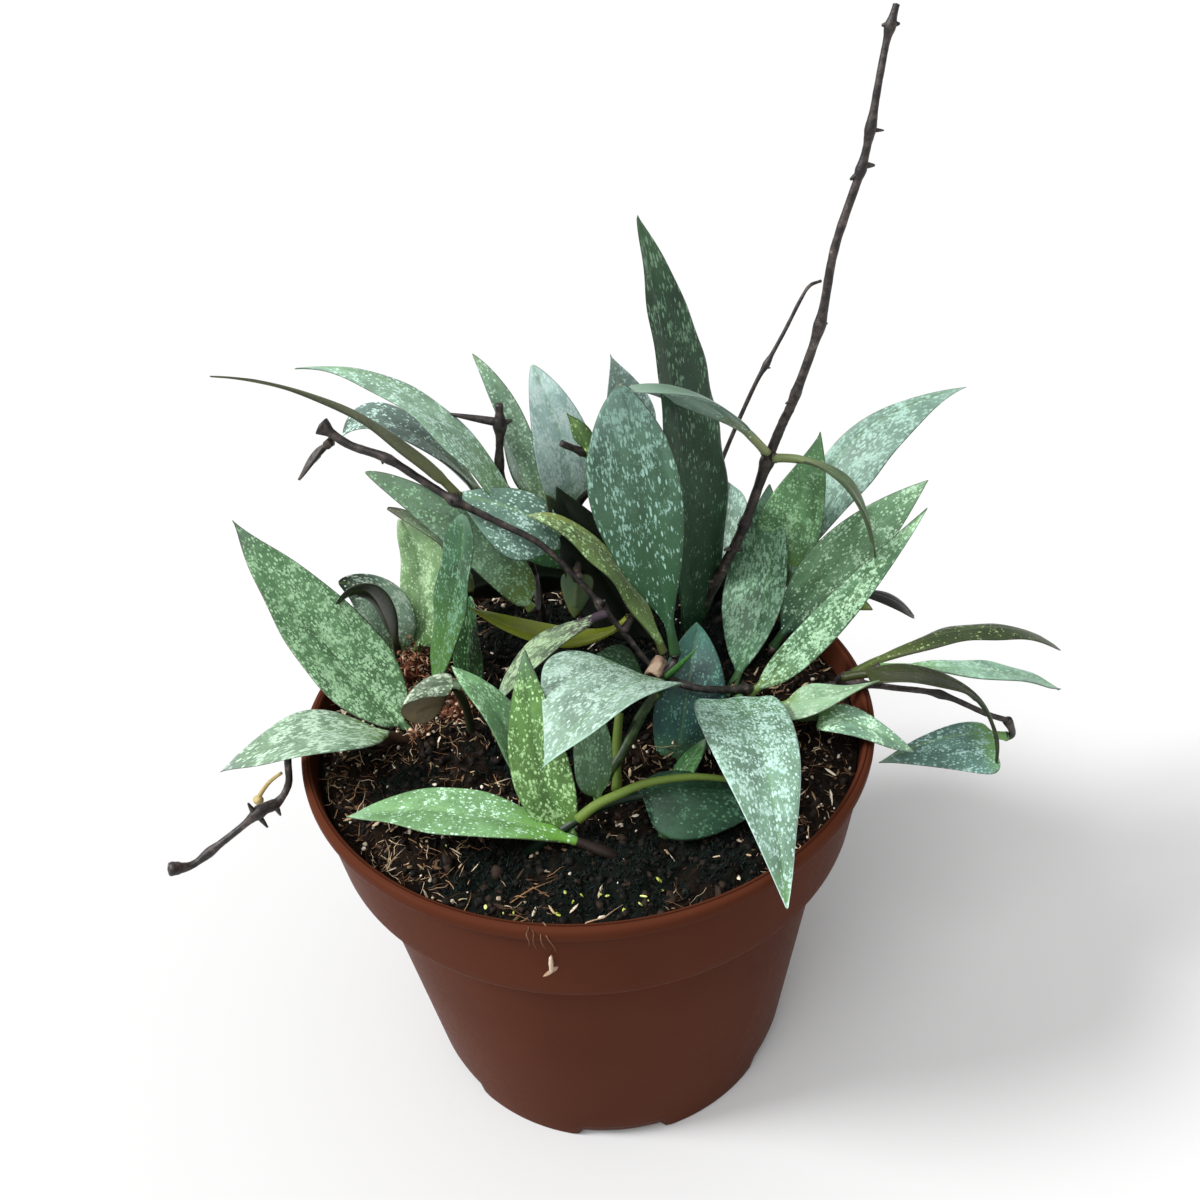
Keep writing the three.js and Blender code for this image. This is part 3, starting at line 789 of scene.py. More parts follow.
@dataclass(frozen=True)
class Leaf:
    """A stalk that widens into a pointed blade, thick and a little folded.

    Its midrib is one bend from root to tip. Seen in plan, "across" is the turn
    of the blade's width from +X, with its tilt, both in degrees. "on" names the
    stem that it grows on; without one, a leaf that has a CAD node is rooted in
    the soil.
    """

    name: str
    skin: LeafSkin
    root: Vec
    bend: Vec
    tip: Vec
    width: float
    across: tuple[float, float]
    stalk: float = 4.0
    fullness: float = 0.8
    taper: float = 1.0
    uneven: float = 0.0
    fold: float = 0.18
    on: str = ""
    node: bool = True

    # The section, in mm.
    STALK_RADIUS = 0.9
    HALF_THICKNESS = 0.62
    TIP_THICKNESS = 0.12
    GROOVE = 0.16
    KEEL = 0.28
    RIB_WIDTH = 0.55
    WAVE = 0.25
    WAVE_LENGTH = 16.0
    # The grid.
    MIDRIB_POINTS = 400
    STALK_ROWS = 6
    ROWS = 60
    HALF_COLUMNS = 14
    # How far a rooted leaf runs on into the soil: at least this far, or down to this height, in mm.
    SINK = 7.0
    ROOTED = 84.0

    def blade_width(self, share: np.ndarray) -> np.ndarray:
        """Half width u^p (1-u)^q, scaled so that its highest value is half the width.

        Args:
            share: u, from 0 at the blade's foot to 1 at its tip.

        Returns:
            Half widths in mm.
        """
        p, q = self.fullness, self.taper
        widest = p / (p + q)
        peak = widest**p * (1 - widest) ** q
        return self.width / 2 * share**p * (1 - share) ** q / peak

    def build(self) -> Solid:
        """Carries the section along the midrib, its rows closer together towards the tip.

        A ring's point lies at centre + side x + up z, where x is the half width
        times s. s runs from -1 to 1, closest spaced at the rib and the edges,
        and the half where s > 0 is wider by the share "uneven", the other half
        narrower by as much. z is a rounded V of the fold, a slow wave along the
        edges, and the half thickness times (1 - s^2)^0.4 above or below, less a
        groove over the rib and more a keel under it.

        Returns:
            The leaf, with the marks its skin reads.
        """
        root, bend, tip = (np.array(p, float) for p in (self.root, self.bend, self.tip))
        fine = np.linspace(0, 1, self.MIDRIB_POINTS)
        run = run_along(bent(root, bend, tip, fine))
        stalk_end = self.stalk / run[-1]
        k = np.linspace(0, 1, self.ROWS)
        blade_rows = stalk_end + (1 - stalk_end) * (1 - (1 - k) ** 1.25)[:-1]
        rows = np.concatenate([np.linspace(0, stalk_end, self.STALK_ROWS, endpoint=False), blade_rows])
        share = np.clip((rows - stalk_end) / (1 - stalk_end), 0, 1)
        centre = bent(root, bend, tip, rows)
        heading = unit((1 - rows[:, None]) * (bend - root) + rows[:, None] * (tip - bend))

        azimuth, tilt = np.radians(self.across)
        level = np.array([np.cos(tilt) * np.cos(azimuth), np.cos(tilt) * np.sin(azimuth), np.sin(tilt)])
        side = unit(level - heading * (heading @ level)[:, None])
        up = np.cross(side, heading)

        least = self.STALK_RADIUS * (1 - 0.85 * share**2) * (1 + 0.35 * np.exp(-((rows / 0.03) ** 2)))
        on_blade = ease(0.0, 0.06, share)
        thick = self.STALK_RADIUS * (1 - on_blade) + on_blade * np.maximum(
            self.HALF_THICKNESS * (1 - share) ** 0.4, self.TIP_THICKNESS)

        t = np.linspace(0, 1, self.HALF_COLUMNS + 1)
        half_span = 0.5 * t + 0.5 * ease(0, 1, t)
        span = np.concatenate([-half_span[::-1], half_span[1:]])
        s = np.concatenate([span, span[-2:0:-1]])
        upper = np.concatenate([np.ones(len(span)), -np.ones(len(span) - 2)])
        upper[[0, len(span) - 1]] = 0
        lens = np.maximum(1 - s**2, 0)
        section = on_blade[:, None] * lens**0.4 + (1 - on_blade[:, None]) * lens**0.5

        blade = self.blade_width(share)[:, None] * (1 + self.uneven * np.sign(s))
        half = (blade**4 + least[:, None] ** 4) ** 0.25
        x = half * s
        seed = sum(map(ord, self.name))
        millimetres = np.interp(rows, fine, run)
        # The two edges wave on their own: the noise is read 40 mm to each side of its middle.
        edges = np.stack([millimetres[:, None] + 0 * s, 40 * np.sign(s) + 0 * x], -1)
        wavy = self.WAVE * ripples(edges, self.WAVE_LENGTH, seed)
        rise = on_blade[:, None] * (self.fold * (np.sqrt(x**2 + 0.5) - 0.7) + wavy * s**2)
        rib = np.exp(-((x / self.RIB_WIDTH) ** 2)) * (half > 2)
        dent = on_blade[:, None] * np.where(upper > 0, self.GROOVE, self.KEEL) * rib
        z = rise + upper * section * thick[:, None] - dent
        rings = centre[:, None] + x[..., None] * side[:, None] + z[..., None] * up[:, None]

        place = np.where(share > 0, share, rows / stalk_end - 1)
        along = np.repeat(place[:, None], len(s), 1)
        marks = {
            "leaf": np.stack([np.broadcast_to(s, x.shape), along, np.broadcast_to(upper * lens**0.5, x.shape)], -1),
            "edge": half * (1 - np.abs(s)) + 2.0 * (1 - on_blade[:, None]),
            "skin": np.stack([x, millimetres[:, None] + 0 * x + seed], -1),
        }
        first = root.copy()
        if not self.on and self.node:  # a leaf with no stem is rooted in the soil
            reach = max(self.SINK, (root[2] - self.ROOTED) / max(heading[0, 2], 0.3))
            sunk = root - heading[0] * reach
            rings = np.concatenate([rings[:1] - heading[0] * reach, rings])
            marks = {name: np.concatenate([values[:1], values]) for name, values in marks.items()}
            first = sunk
        return Solid.skin(rings[None], first[None], tip[None], {name: v[None] for name, v in marks.items()})

    def dress(self) -> bpy.types.Object:
        """Builds the leaf with its skin; it stands for its CAD node if it has one.

        Returns:
            The object.
        """
        made = self.build().to_object(self.name, self.skin.material("hoya_skin_" + self.name), self.skin.slot)
        if self.node:
            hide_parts(self.name)
        return made


# Painted light and shade: each leaf's tones were scaled to the brightness it shows, so besides its own colour they
# carry the light and shade that fall on it. A leaf in shade is painted darker, and one the lamps leave dim is
# painted lighter.
LEFT_LEAVES = [
    Leaf("left_broad", FRESH.tinted("76a475 5b7f5a c1ecbe 6e7b45 5c8158 7a9183 7daa72", margin="5a3f45",
         flecks=(0.36, 0.34, 0.2), margin_width=0.3), (-37.2, -0.7, 88.3), (-55.8, 7.5, 109), (-67.5, 14.1, 136.1),
         19.4, (56, 0), fullness=0.59, taper=1.11, uneven=0.1),
    Leaf("left_low", FRESH.tinted("829f83 647b65 b9d4bc 687142 718a46 6e7678 719568", flecks=(0.36, 0.34, 0.2),
         fleck_size=(0.45, 1.3), stalk="3c2a20"), (-38.7, -4.5, 91), (-54.1, -13.4, 107.4), (-72.2, -18.4, 98.5),
         18.2, (113, -6), fullness=0.85, taper=1.25, uneven=-0.16),
    # Painted light and shade: left_behind's tones are lifted above its own teal to make up for the shade it gets,
    # and from halfway up it fades to near-black for the shade under left_dark's arch.
    Leaf("left_behind", TEAL.tinted("a0c3aa 7d9884 d4ecd6 4a5d46 67854b 253226 7c935b", margin="2c3428",
         tip_from=0.5), (-44.3, 25, 88.5), (-39.2, 24, 111.2), (-52, 24, 113), 13, (0, 32), stalk=2, fullness=0.45,
         taper=0.7),
    # Painted shade: left_dark is painted near-black for the shade it lies in at the back left.
    Leaf("left_dark", OLIVE.tinted("23271b 14170f 3a4034 1c1e14 1c2014 2c3226 67753f"), (-41.4, 21.2, 90),
         (-40.4, 15, 126.7), (-51.2, 14, 112.9), 9.5, (-71, 57), fullness=0.69, taper=0.97, uneven=0.25),
    Leaf("left_upright_lime", LIME.tinted("97bc86 76986a c4e4b6 788548 5a8048 9db588 7eaa82"), (-39.1, 24.3, 88.5),
         (-30.1, 27, 116.1), (-36.1, 24, 127.4), 14.2, (-23, -1), fullness=0.29, taper=0.5, uneven=0.3),
    Leaf("left_upright_teal", TEAL.tinted("395d41 2c4631 678d72 3b503a 466930 577662 577644", root_until=0.6),
         (-33.8, 3.9, 92.6), (-20.7, 4.4, 127.5), (-20.3, 2.4, 139.5), 10.6, (-54, -6), stalk=5, fullness=0.48,
         taper=0.62, uneven=-0.07),
    Leaf("left_shade", DEEP.tinted("203e1d 162f15 648e5f 324221 2f5122 375939 375f38"), (-26.1, 8.5, 89.2),
         (-25.7, 4.1, 91.8), (-22.5, 12.9, 113.8), 10.5, (-49, 4), fullness=0.78, taper=0.65, uneven=0.16),
]

BACK_LEAVES = [
    Leaf("back_left_low", FRESH.tinted("93b997 729075 bcecc2 727d48 85a151 829c83 85ad77"), (-10.3, 20.2, 104.2),
         (-21.3, 15.8, 128.2), (-38.7, 10.2, 146.3), 9.5, (31, 35), stalk=2, fullness=0.3, taper=0.69, uneven=0.3,
         fold=0.1, on="stem_back"),
    Leaf("back_left_tip", OLIVE.tinted("97af8d 75886d dcedcf 68784b 7b8b53 75636a 85995d"), (-23.6, 24.7, 108),
         (-21.8, 16.9, 126.1), (-36.7, 14.9, 135.4), 7.4, (104, 6), fullness=0.77, taper=0.91, fold=-0.18,
         on="stem_left"),
    Leaf("arching_top", TEAL.tinted("94b99d 73907a cbecdc 516753 739960 8caba0 8cab73"), (-12.1, 23, 130.2),
         (-26.1, 27.9, 161.8), (-50.9, 23.8, 162.7), 12, (76, 8), stalk=1, fullness=0.35, taper=1.15, uneven=-0.6,
         on="stem_back"),
    Leaf("arching_under", DEEP.tinted("6f867c 556860 ccece0 2a362b 5e7649 3c4c40 6e886e", margin="1c261e"),
         (-18.4, 28.3, 129), (-37.2, 30.1, 156.7), (-45.8, 30, 144.9), 12, (99, 5), stalk=1, fullness=0.31,
         taper=0.51, uneven=-0.03, on="stem_back"),
    Leaf("long_narrow", OLIVE.tinted("585e47 434836 5f6655 565e3c 5a5f3c 565044 626943"), (-21.7, 12.5, 137.9),
         (-37.3, 11.5, 164), (-62.8, 10, 168.1), 4.4, (83, -1), fullness=0.27, taper=2.12, uneven=0.01, fold=-0.18,
         on="stem_runner"),
    Leaf("blue_cross", TEAL.tinted("729583 577466 ccece3 4f684f 709c5c 87ae96 87ae6d"), (-1.8, 20, 115.9),
         (0.8, 13.2, 130.6), (-23.3, 16.8, 136.6), 14.5, (50, 34), stalk=5, fullness=1.65, taper=1.19, uneven=-0.4,
         on="stem_back_stub"),
    Leaf("back_lime", LIME.tinted("95b99a 739077 cbecd2 768148 7a9859 98ae89 7aa381"), (-4.3, 33, 115),
         (-8.6, 30, 147), (-17, 32, 159.8), 5.6, (0, 25), fullness=0.5, taper=0.8, fold=0.1, on="stem_back"),
    # Painted light: back_silver's tones are lifted nearly to white-green to make up for the shade that the leaves
    # in front of it throw.
    Leaf("back_silver", SILVER.tinted("c6e6e0 a0c0ba dcf2ee 647254 82ac80 bcd8d0 7faa6d"), (0.6, 36.7, 118.4),
         (1.7, 31, 135.6), (-5.3, 35, 155.2), 13.6, (19, 13), stalk=3, fullness=0.42, taper=0.75, uneven=-0.03,
         on="stem_back_stub"),
    Leaf("back_shade", DEEP.tinted("97b9a4 759080 d3ecdf 4c5b37 558045 68916f 68996c"), (-6.6, 34.4, 116.7),
         (-13.8, 40.5, 138), (-11.3, 38.2, 143.3), 12.5, (67, -6), stalk=5, taper=1.21, uneven=-0.09,
         on="stem_back"),
    Leaf("back_teal_tip", TEAL.tinted("96b2aa 748b84 cceee6 576b59 81a36b 9cb4af 9cb47f"), (19.6, 42.2, 105.4),
         (14.3, 25.5, 144.4), (10.7, 29.3, 158.4), 14.1, (40, 5), stalk=20, fullness=0.63, taper=1.35,
         uneven=-0.05),
]

CENTRE_LEAVES = [
    Leaf("centre_silver", SILVER.tinted("5c7f69 466251 9cc3b5 5e6b4c 2f5234 94b4ab 44644f", stalk="30502e",
         root_until=0.6, fleck_size=(0.38, 1.4), tip_from=0.4, flecks=(0.05, 0.3, 0.34)), (19.7, 3.2, 100.8),
         (11.2, 14.2, 163.6), (10.9, -0.8, 164.4), 18.2, (-2, 0), stalk=3, fullness=1.2, taper=2.3, uneven=-0.17,
         on="stem_runner"),
    # Painted shadow: the near-black root tone over tall_dark's lower two thirds, and its stalk, stand for the
    # shadow that centre_silver casts on it.
    Leaf("tall_dark", DEEP.tinted("2f4d36 233a29 729477 374426 123019 456346 273f28", stalk="12280f",
         root_until=0.65, fleck_size=(0.38, 1.4), flecks=(0, 0.12, 0.26)), (24.4, 18.6, 91.3), (26, 8.4, 140.9),
         (16.4, 18.4, 188.4), 18.7, (49, 11), stalk=1, fullness=0.5, taper=0.8, uneven=0.27),
    Leaf("centre_olive", OLIVE.tinted("768e58 5b6e43 c6ecad 6d8151 829c5e 7c856b 8cab69", margin="26301a",
         band="8a9c54", band_from=0.3, stalk="5a6236", flecks=(0.06, 0.2, 0.3)), (17.7, 8.7, 97.6),
         (8.2, 16, 126.5), (-8.7, 11.8, 132.9), 8.6, (74, -1), stalk=2, fullness=0.5, taper=0.75, uneven=0.03,
         fold=-0.18, on="stem_runner"),
    Leaf("centre_hanging", FRESH.tinted("4a6854 384f40 567362 4d572d 475b26 465741 47633a"), (0.7, 14, 117.8),
         (0.2, 13, 114.2), (-0.9, 11, 107.2), 7, (0, 0), stalk=1.5, fullness=0.25, taper=0.7, on="stem_runner"),
    Leaf("centre_shade", DEEP.tinted("2c462e 203522 587762 344026 314d28 3a5440 3a593e"), (15, 0, 94), (10, 1, 101),
         (3, 2, 104), 12, (85, -5), on="stem_runner"),
    Leaf("centre_arch", SILVER.tinted("6a7c62 4c5a48 93aa86 576145 443842 7d9283 678551", root_until=0.35),
         (5.4, 3.6, 112.9), (-9.4, -4.7, 114.1), (-17.9, -8, 102), 8.6, (111, -9), stalk=3, fullness=0.56,
         taper=0.61, uneven=-0.13, on="stem_runner"),
    Leaf("centre_yellow", LIME.tinted("8c9624 5c661a c4e2a8 6a741e 7a8426 8a9030 98a038", flecks=(0, 0, 0),
         margin="b8c040", margin_width=0.5), (10.8, 9.6, 107.1), (-2.1, 8.3, 95.4), (-22.5, 5.9, 115.9), 7.6,
         (-84, -11), stalk=3, fullness=1.2, taper=0.83, uneven=-0.6, on="stem_runner"),
    Leaf("tall_left", OLIVE.tinted("9cb6a8 798e83 caede0 698470 878f65 817a72 929e70", margin="20241a"),
         (40.8, 18.7, 139), (24.9, 5.9, 163.6), (10.9, 5, 161.1), 12.9, (-69, 22), stalk=5, fullness=0.9,
         taper=0.89, uneven=-0.06, on="stem_tall"),
    Leaf("tall_right", OLIVE.tinted("56694a 415038 74886a 616f48 6d7a4f 3c4434 768858", margin="20281a"),
         (42.5, 18.4, 137.6), (57.8, 8.9, 142.3), (62.3, 7.9, 117.9), 6.2, (-106, 4), stalk=5, fullness=1.44,
         taper=0.81, uneven=0.09, on="stem_tall"),
]

FRONT_LEAVES = [
    Leaf("front_left_dark", DEEP.tinted("85b982 679065 beecbe 525f38 668d4c 769b75 76a373"), (-10.1, -25.7, 86.5),
         (-14.3, -18.9, 106.9), (-25.2, -12.1, 114.9), 13.2, (67, -17), fullness=0.46, taper=0.9, uneven=-0.04),
    # Painted shade: front_left_curl is painted near-black olive-brown for the shade on its curled underside.
    Leaf("front_left_curl", OLIVE.tinted("3c3216 221c0c 55562c 342a10 262a14 4a5026 3c3c20", margin="1a1a0e",
         flecks=(0, 0, 0), roughness=0.75), (-24.9, -2.8, 88), (-23, -6, 114.8), (-36.4, -13, 104.8), 9.1, (-58, 8),
         stalk=12, fullness=2.17, taper=0.54, uneven=0.54),
    Leaf("front_upright", FRESH.tinted("5d8447 476635 a9d294 5c6b39 5e7d39 5c785e 5e8755"), (-3.8, -34.7, 88),
         (-10.8, -34.4, 100.5), (-10.2, -21.6, 124.5), 11, (0, 1), stalk=3, fullness=0.79, taper=0.97,
         uneven=-0.06),
    Leaf("front_low", FRESH.tinted("7ba672 5e8157 bce1c6 6b7341 639838 88af8c 789868", flecks=(0.16, 0.2, 0.06),
         root_until=0.4, stalk="2a211c"), (-0.1, -37.6, 88.5), (-25.8, -34.1, 102.1), (-47.2, -29, 94), 12.6,
         (70, -5), fullness=1.13, taper=1.17, uneven=-0.06),
    # Painted sheen: front_silver's pale bluish margin stands for the sheen along its edges.
    Leaf("front_silver", SILVER.tinted("88a491 697f70 afc9bc 5a694a 597e55 7d9c8d 688d58", margin="9fbfae",
         margin_width=0.5, flecks=(0.36, 0.34, 0.2)), (15.2, -10.7, 104.8), (5.7, -29.1, 123.7), (-8.7, -40, 112),
         25.7, (136, -11), stalk=1.5, fullness=0.5, taper=1.15, uneven=0.35, on="stem_front"),
    Leaf("front_inner", DEEP.tinted("8db98f 6d906e bcecbe 56633d 6c9755 7ea582 7eae80", flecks=(0.2, 0.26, 0.2)),
         (0.9, -25.7, 87.9), (-0.1, -24.1, 95.7), (0.8, -18.5, 108.8), 10.6, (40, -10), stalk=3, fullness=0.7,
         taper=0.76, uneven=-0.11),
    # Painted shade: front_teal is painted dark navy-teal for the shade that front_silver and the runner throw on
    # it, and its lighter tip is where light reaches it.
    Leaf("front_teal", TEAL.tinted("24483e 173234 54806f 344732 3a562b 436f64 476035", tip_from=0.6,
         flecks=(0.1, 0.14, 0.24)), (15.2, -24.1, 87.6), (22.3, 4.5, 87.2), (25.3, 11, 103.4), 15, (0, 8), stalk=3,
         fullness=0.66, taper=0.83, uneven=0.12),
    # Painted shade: the blade is painted dark green with dull flecks, and near-black at its root, for the shade it
    # hangs in.
    Leaf("front_yellow_stalk", DEEP.tinted("2e4e38 1e3828 4c745a 24402c 0c1e11 1e3322 1e3521", root_until=0.1),
         (-3.6, -34.1, 93.2), (9.1, -32, 100.6), (34.1, -32.6, 92.1), 15.8, (-96, -9), stalk=16, fullness=0.41,
         taper=0.79, uneven=0.04, fold=-0.5),
]

RIGHT_LEAVES = [
    Leaf("right_silver_top", SILVER.tinted("708e7e 5f7a6c 98b8aa 556347 557853 799488 648756"), (48.6, 24.5, 97.4),
         (50.8, 34.6, 137.6), (86.3, 32.3, 143.4), 12.8, (-57, -23), stalk=6, fullness=1, taper=1.18, uneven=0.57,
         on="stem_right_back"),
    Leaf("right_back", FRESH.tinted("73a071 597d57 aad6a7 6c7a43 799b4a 769677 79a76c", stalk="2c4a28"),
         (49.1, 27, 92.7), (56.4, 23, 123), (51.8, 19, 142.5), 14.2, (-32, -10), stalk=5, fullness=0.45, taper=1.2,
         uneven=-0.79, on="stem_right_back"),
    Leaf("right_upright", SILVER.tinted("587e61 42614a 90b99a 5e6f4f 4c7855 87ac9b 6f9d60", stalk="44663c"),
         (32.5, 6.6, 88.4), (48.2, 30, 99.9), (43.6, 28, 126.3), 14.2, (-35, -2), stalk=3, fullness=0.75,
         taper=0.99, uneven=-0.34),
    Leaf("right_pale", SILVER.tinted("819d8a 647a6b bbd6c9 59674b 888b83 7f9f91 688f5b"), (27, 23.4, 97.1),
         (27.9, 28, 94.2), (34.6, 28, 127.8), 10.2, (-49, -16), stalk=12, fullness=1.61, taper=0.26, uneven=0.47,
         on="stem_tall"),
    # Painted shade: the dark root tone over right_shade's lower third, and its dark stalk, stand for the shade at
    # its foot.
    Leaf("right_shade", DEEP.tinted("6c946e 527352 b2d6b4 4e5937 284a3a 7a9a78 6b956c", stalk="2c4a28",
         root_until=0.35), (43, 15.3, 91.1), (55, 19, 109.7), (76, 20.3, 128.5), 13, (-39, -31), stalk=5,
         fullness=0.75, uneven=-0.03, on="stem_right_back"),
    Leaf("right_bright", FRESH.tinted("5c8260 486848 a2c8a4 616b3c 5c7440 86a880 67895c", margin="22281c",
         flecks=(0.34, 0.36, 0.3)), (34.8, 1.1, 89.5), (46.6, 2, 99.8), (72.7, 10.1, 127.9), 7.4, (-40, -31),
         stalk=6, fullness=0.6, taper=0.9, uneven=0.1, fold=0.1),
    # Painted sheen: right_hanging's pale bluish margin stands for the sheen along its edges.
    Leaf("right_hanging", SILVER.tinted("779982 5c7765 b0d0c5 576649 577d55 669061 668c57", margin="bcd8d2",
         flecks=(0.36, 0.34, 0.2), fleck_size=(0.5, 0.8), margin_width=0.25), (32.5, -0.6, 91.1),
         (31.1, -38.7, 115.1), (31.4, -57.2, 90.7), 18.7, (194, 8), stalk=3, fullness=0.32, taper=0.99, uneven=0.19,
         on="stem_runner"),
    Leaf("right_light_arch", FRESH.tinted("8aac89 6b866a a3baa0 656e3f 6e8441 6c806c 6e8f61"), (40, -5.1, 91.5),
         (42.7, -14, 99.2), (57.9, -15.3, 104.6), 10.8, (-109, 1), fullness=0.73, taper=1.51, uneven=0.24),
    Leaf("right_strip", TEAL.tinted("88af96 698875 9ebfa9 49614a 648c53 799c89 799c63"), (61.7, -1.9, 97),
         (90.6, -5.5, 97.1), (102.6, -1.8, 86.3), 8.3, (-85, 8), fullness=0.79, taper=0.93, uneven=0.1,
         on="stem_right"),
    Leaf("right_strap", OLIVE.tinted("344323 263219 95af6d 525f33 52602c 4d5233 596b33"), (57.4, 2.4, 92.2),
         (89.2, 8.9, 105.5), (107.7, 10.8, 87.1), 8.6, (-81, 12), fullness=0.86, taper=0.62, uneven=0.06,
         fold=-0.18, on="stem_right"),
    Leaf("right_olive_arch", OLIVE.tinted("212912 181e0b 445035 3a4324 303619 2d2e1d 353d1d"), (53.3, -5.7, 98.4),
         (82.7, -15.9, 110.3), (84.4, -16.5, 78.1), 8.2, (-110, 7), fullness=0.29, taper=2.23, uneven=0.42,
         on="stem_right"),
    Leaf("right_low_teal", TEAL.tinted("56786c 425d53 98b9b3 4c624d 689057 7ea090 7ea067"), (90.1, -7.3, 79.2),
         (77.6, -5.1, 81.2), (60.6, -12.3, 79.6), 15.5, (98, 9), fullness=0.36, taper=1.14, uneven=-0.6,
         on="stem_right"),
    Leaf("right_small", TEAL.tinted("7da387 607f69 c6eccb 4c634b 699355 7fa38c 7fa365"), (46.1, -9.2, 91.7),
         (50.8, -20.1, 101.3), (64.6, -20.4, 89.5), 8.6, (-113, -6), fullness=0.37, taper=0.96, uneven=0.13),
    # Painted shade: right_dark_strap is painted near-black for a leaf whose underside lies in shadow.
    Leaf("right_dark_strap", DEEP.tinted("0e0f0a 080906 495848 313720 1c2816 1c2418 1c241a", flecks=(0, 0, 0)),
         (53, 28.3, 95.5), (71.9, 28.2, 98.2), (79.1, 26.7, 87.7), 6.1, (-103, 6), fullness=1.54, taper=0.62,
         uneven=0.06, fold=-0.18, on="stem_right_back"),
]

# Small or hidden leaves that the frame leaves out; some of them are dark sheets of painted shade.
SMALL_LEAVES = [
    Leaf("knob_tip", DEEP.tinted("4e4a46 2c2826 6a6460 3a3430 3c3630 5a5650 4a4644", margin="1c1a18",
         flecks=(0.1, 0.1, 0.1)), (-45.7, 19, 149.1), (-48.9, 19.5, 146.8), (-54, 19.1, 141.2), 4.1, (97, 7),
         stalk=2, fullness=0.76, taper=0.98, uneven=0.01, on="stem_runner", node=False),
    Leaf("back_sprout", DEEP.tinted("698b56 516b42 bcdd94 5c6e44 648844 416444 87a55e", margin="26301c",
         flecks=(0.1, 0.1, 0.1)), (5, 18, 142), (4.1, 17, 148.1), (1, 17, 152), 3.8, (0, 20), stalk=1.5,
         fullness=0.7, taper=1.3, node=False),
    Leaf("front_bright", FRESH.tinted("538651 3f673e 80bb79 767d4a 8ca155 8a9b89 8cad7d"), (14.4, -26, 87.9),
         (17.5, -24, 92.4), (22.8, -20, 97.8), 6, (-65, 5), stalk=2, node=False),
    # Painted shadow: centre_shadow is a near-black sheet that stands only for the shadow in the middle of the
    # plant.
    Leaf("centre_shadow", DEEP.tinted("141c12 0c110b 2a2a1c 12180f 0c110b 1a2416 161e14", margin="14140e",
         flecks=(0, 0, 0)), (15.2, 14, 97.4), (7, 16, 107.6), (-2.4, 20, 134.5), 17, (20, 5), stalk=2, node=False),
    # Painted shade: centre_cup is painted near-black for the shade inside its fold.
    Leaf("centre_cup", OLIVE.tinted("2f3a24 1c2416 4a5a3a 262c1a 1c2414 3a4a2e 3a4a2e", margin="7a8a6a",
         margin_width=0.5, flecks=(0.1, 0.1, 0.1)), (1, 24, 115.5), (-3.1, 19, 127), (-4.8, 16, 135), 6, (60, 20),
         stalk=2, node=False),
    Leaf("right_olive_tip", OLIVE.tinted("6a7a3c 4a5a2c 93a878 59653a 5f6a38 5a5a40 67753f"), (58.5, 20, 100.7),
         (60.5, 16, 102.1), (62.9, 9, 104.1), 3, (-100, -30), stalk=2, fold=-0.18, node=False),
    Leaf("curl_flap", FRESH.tinted("8ea087 6e7d69 dcedd4 5f6b48 70866a 808c6e 80977a", margin="20241a",
         flecks=(0.3, 0.34, 0.3)), (-23.7, -14, 111.5), (-28.9, -14.5, 114.2), (-35.5, -15, 108.4), 5.6, (180, 62),
         stalk=2, fullness=0.28, fold=0.05, node=False),
    # Painted shade: back_dark is a dark sheet that stands only for the shade over the pot's inner wall at the back.
    Leaf("back_dark", DEEP.tinted("1d2a1e 131c14 2c3a2c 1a2218 161c12 202c20 243024", margin="141812",
         flecks=(0.05, 0.05, 0.05)), (-33.1, 41, 95.1), (-8.2, 44, 101.7), (0.9, 44, 93.5), 14, (0, 70), stalk=2,
         fullness=0.5, taper=0.5, node=False),
    # Painted shade: right_dark is a dark sheet that stands only for the shade over the pot's inner wall at the back
    # right.
    Leaf("right_dark", DEEP.tinted("16281a 0e1a11 2c3a2c 141e14 10160e 1c2a1c 203020", margin="141812",
         flecks=(0.05, 0.05, 0.05)), (26.7, 34, 87.9), (30.8, 37, 98), (39.9, 38, 92.6), 11, (0, 70), stalk=2,
         fullness=0.5, taper=0.5, node=False),
    Leaf("back_green", DEEP.tinted("3a6a3c 254a2a 6a9a68 34502c 2c5028 3c6a44 44744a", margin="4a4a34",
         flecks=(0.12, 0.12, 0.12)), (5.4, 23, 109.4), (-4.9, 25, 118.6), (-16.1, 27, 116.4), 7, (0, 75), stalk=2,
         fullness=0.6, taper=0.6, node=False),
]


# -------------------------------------------------------------------- stems


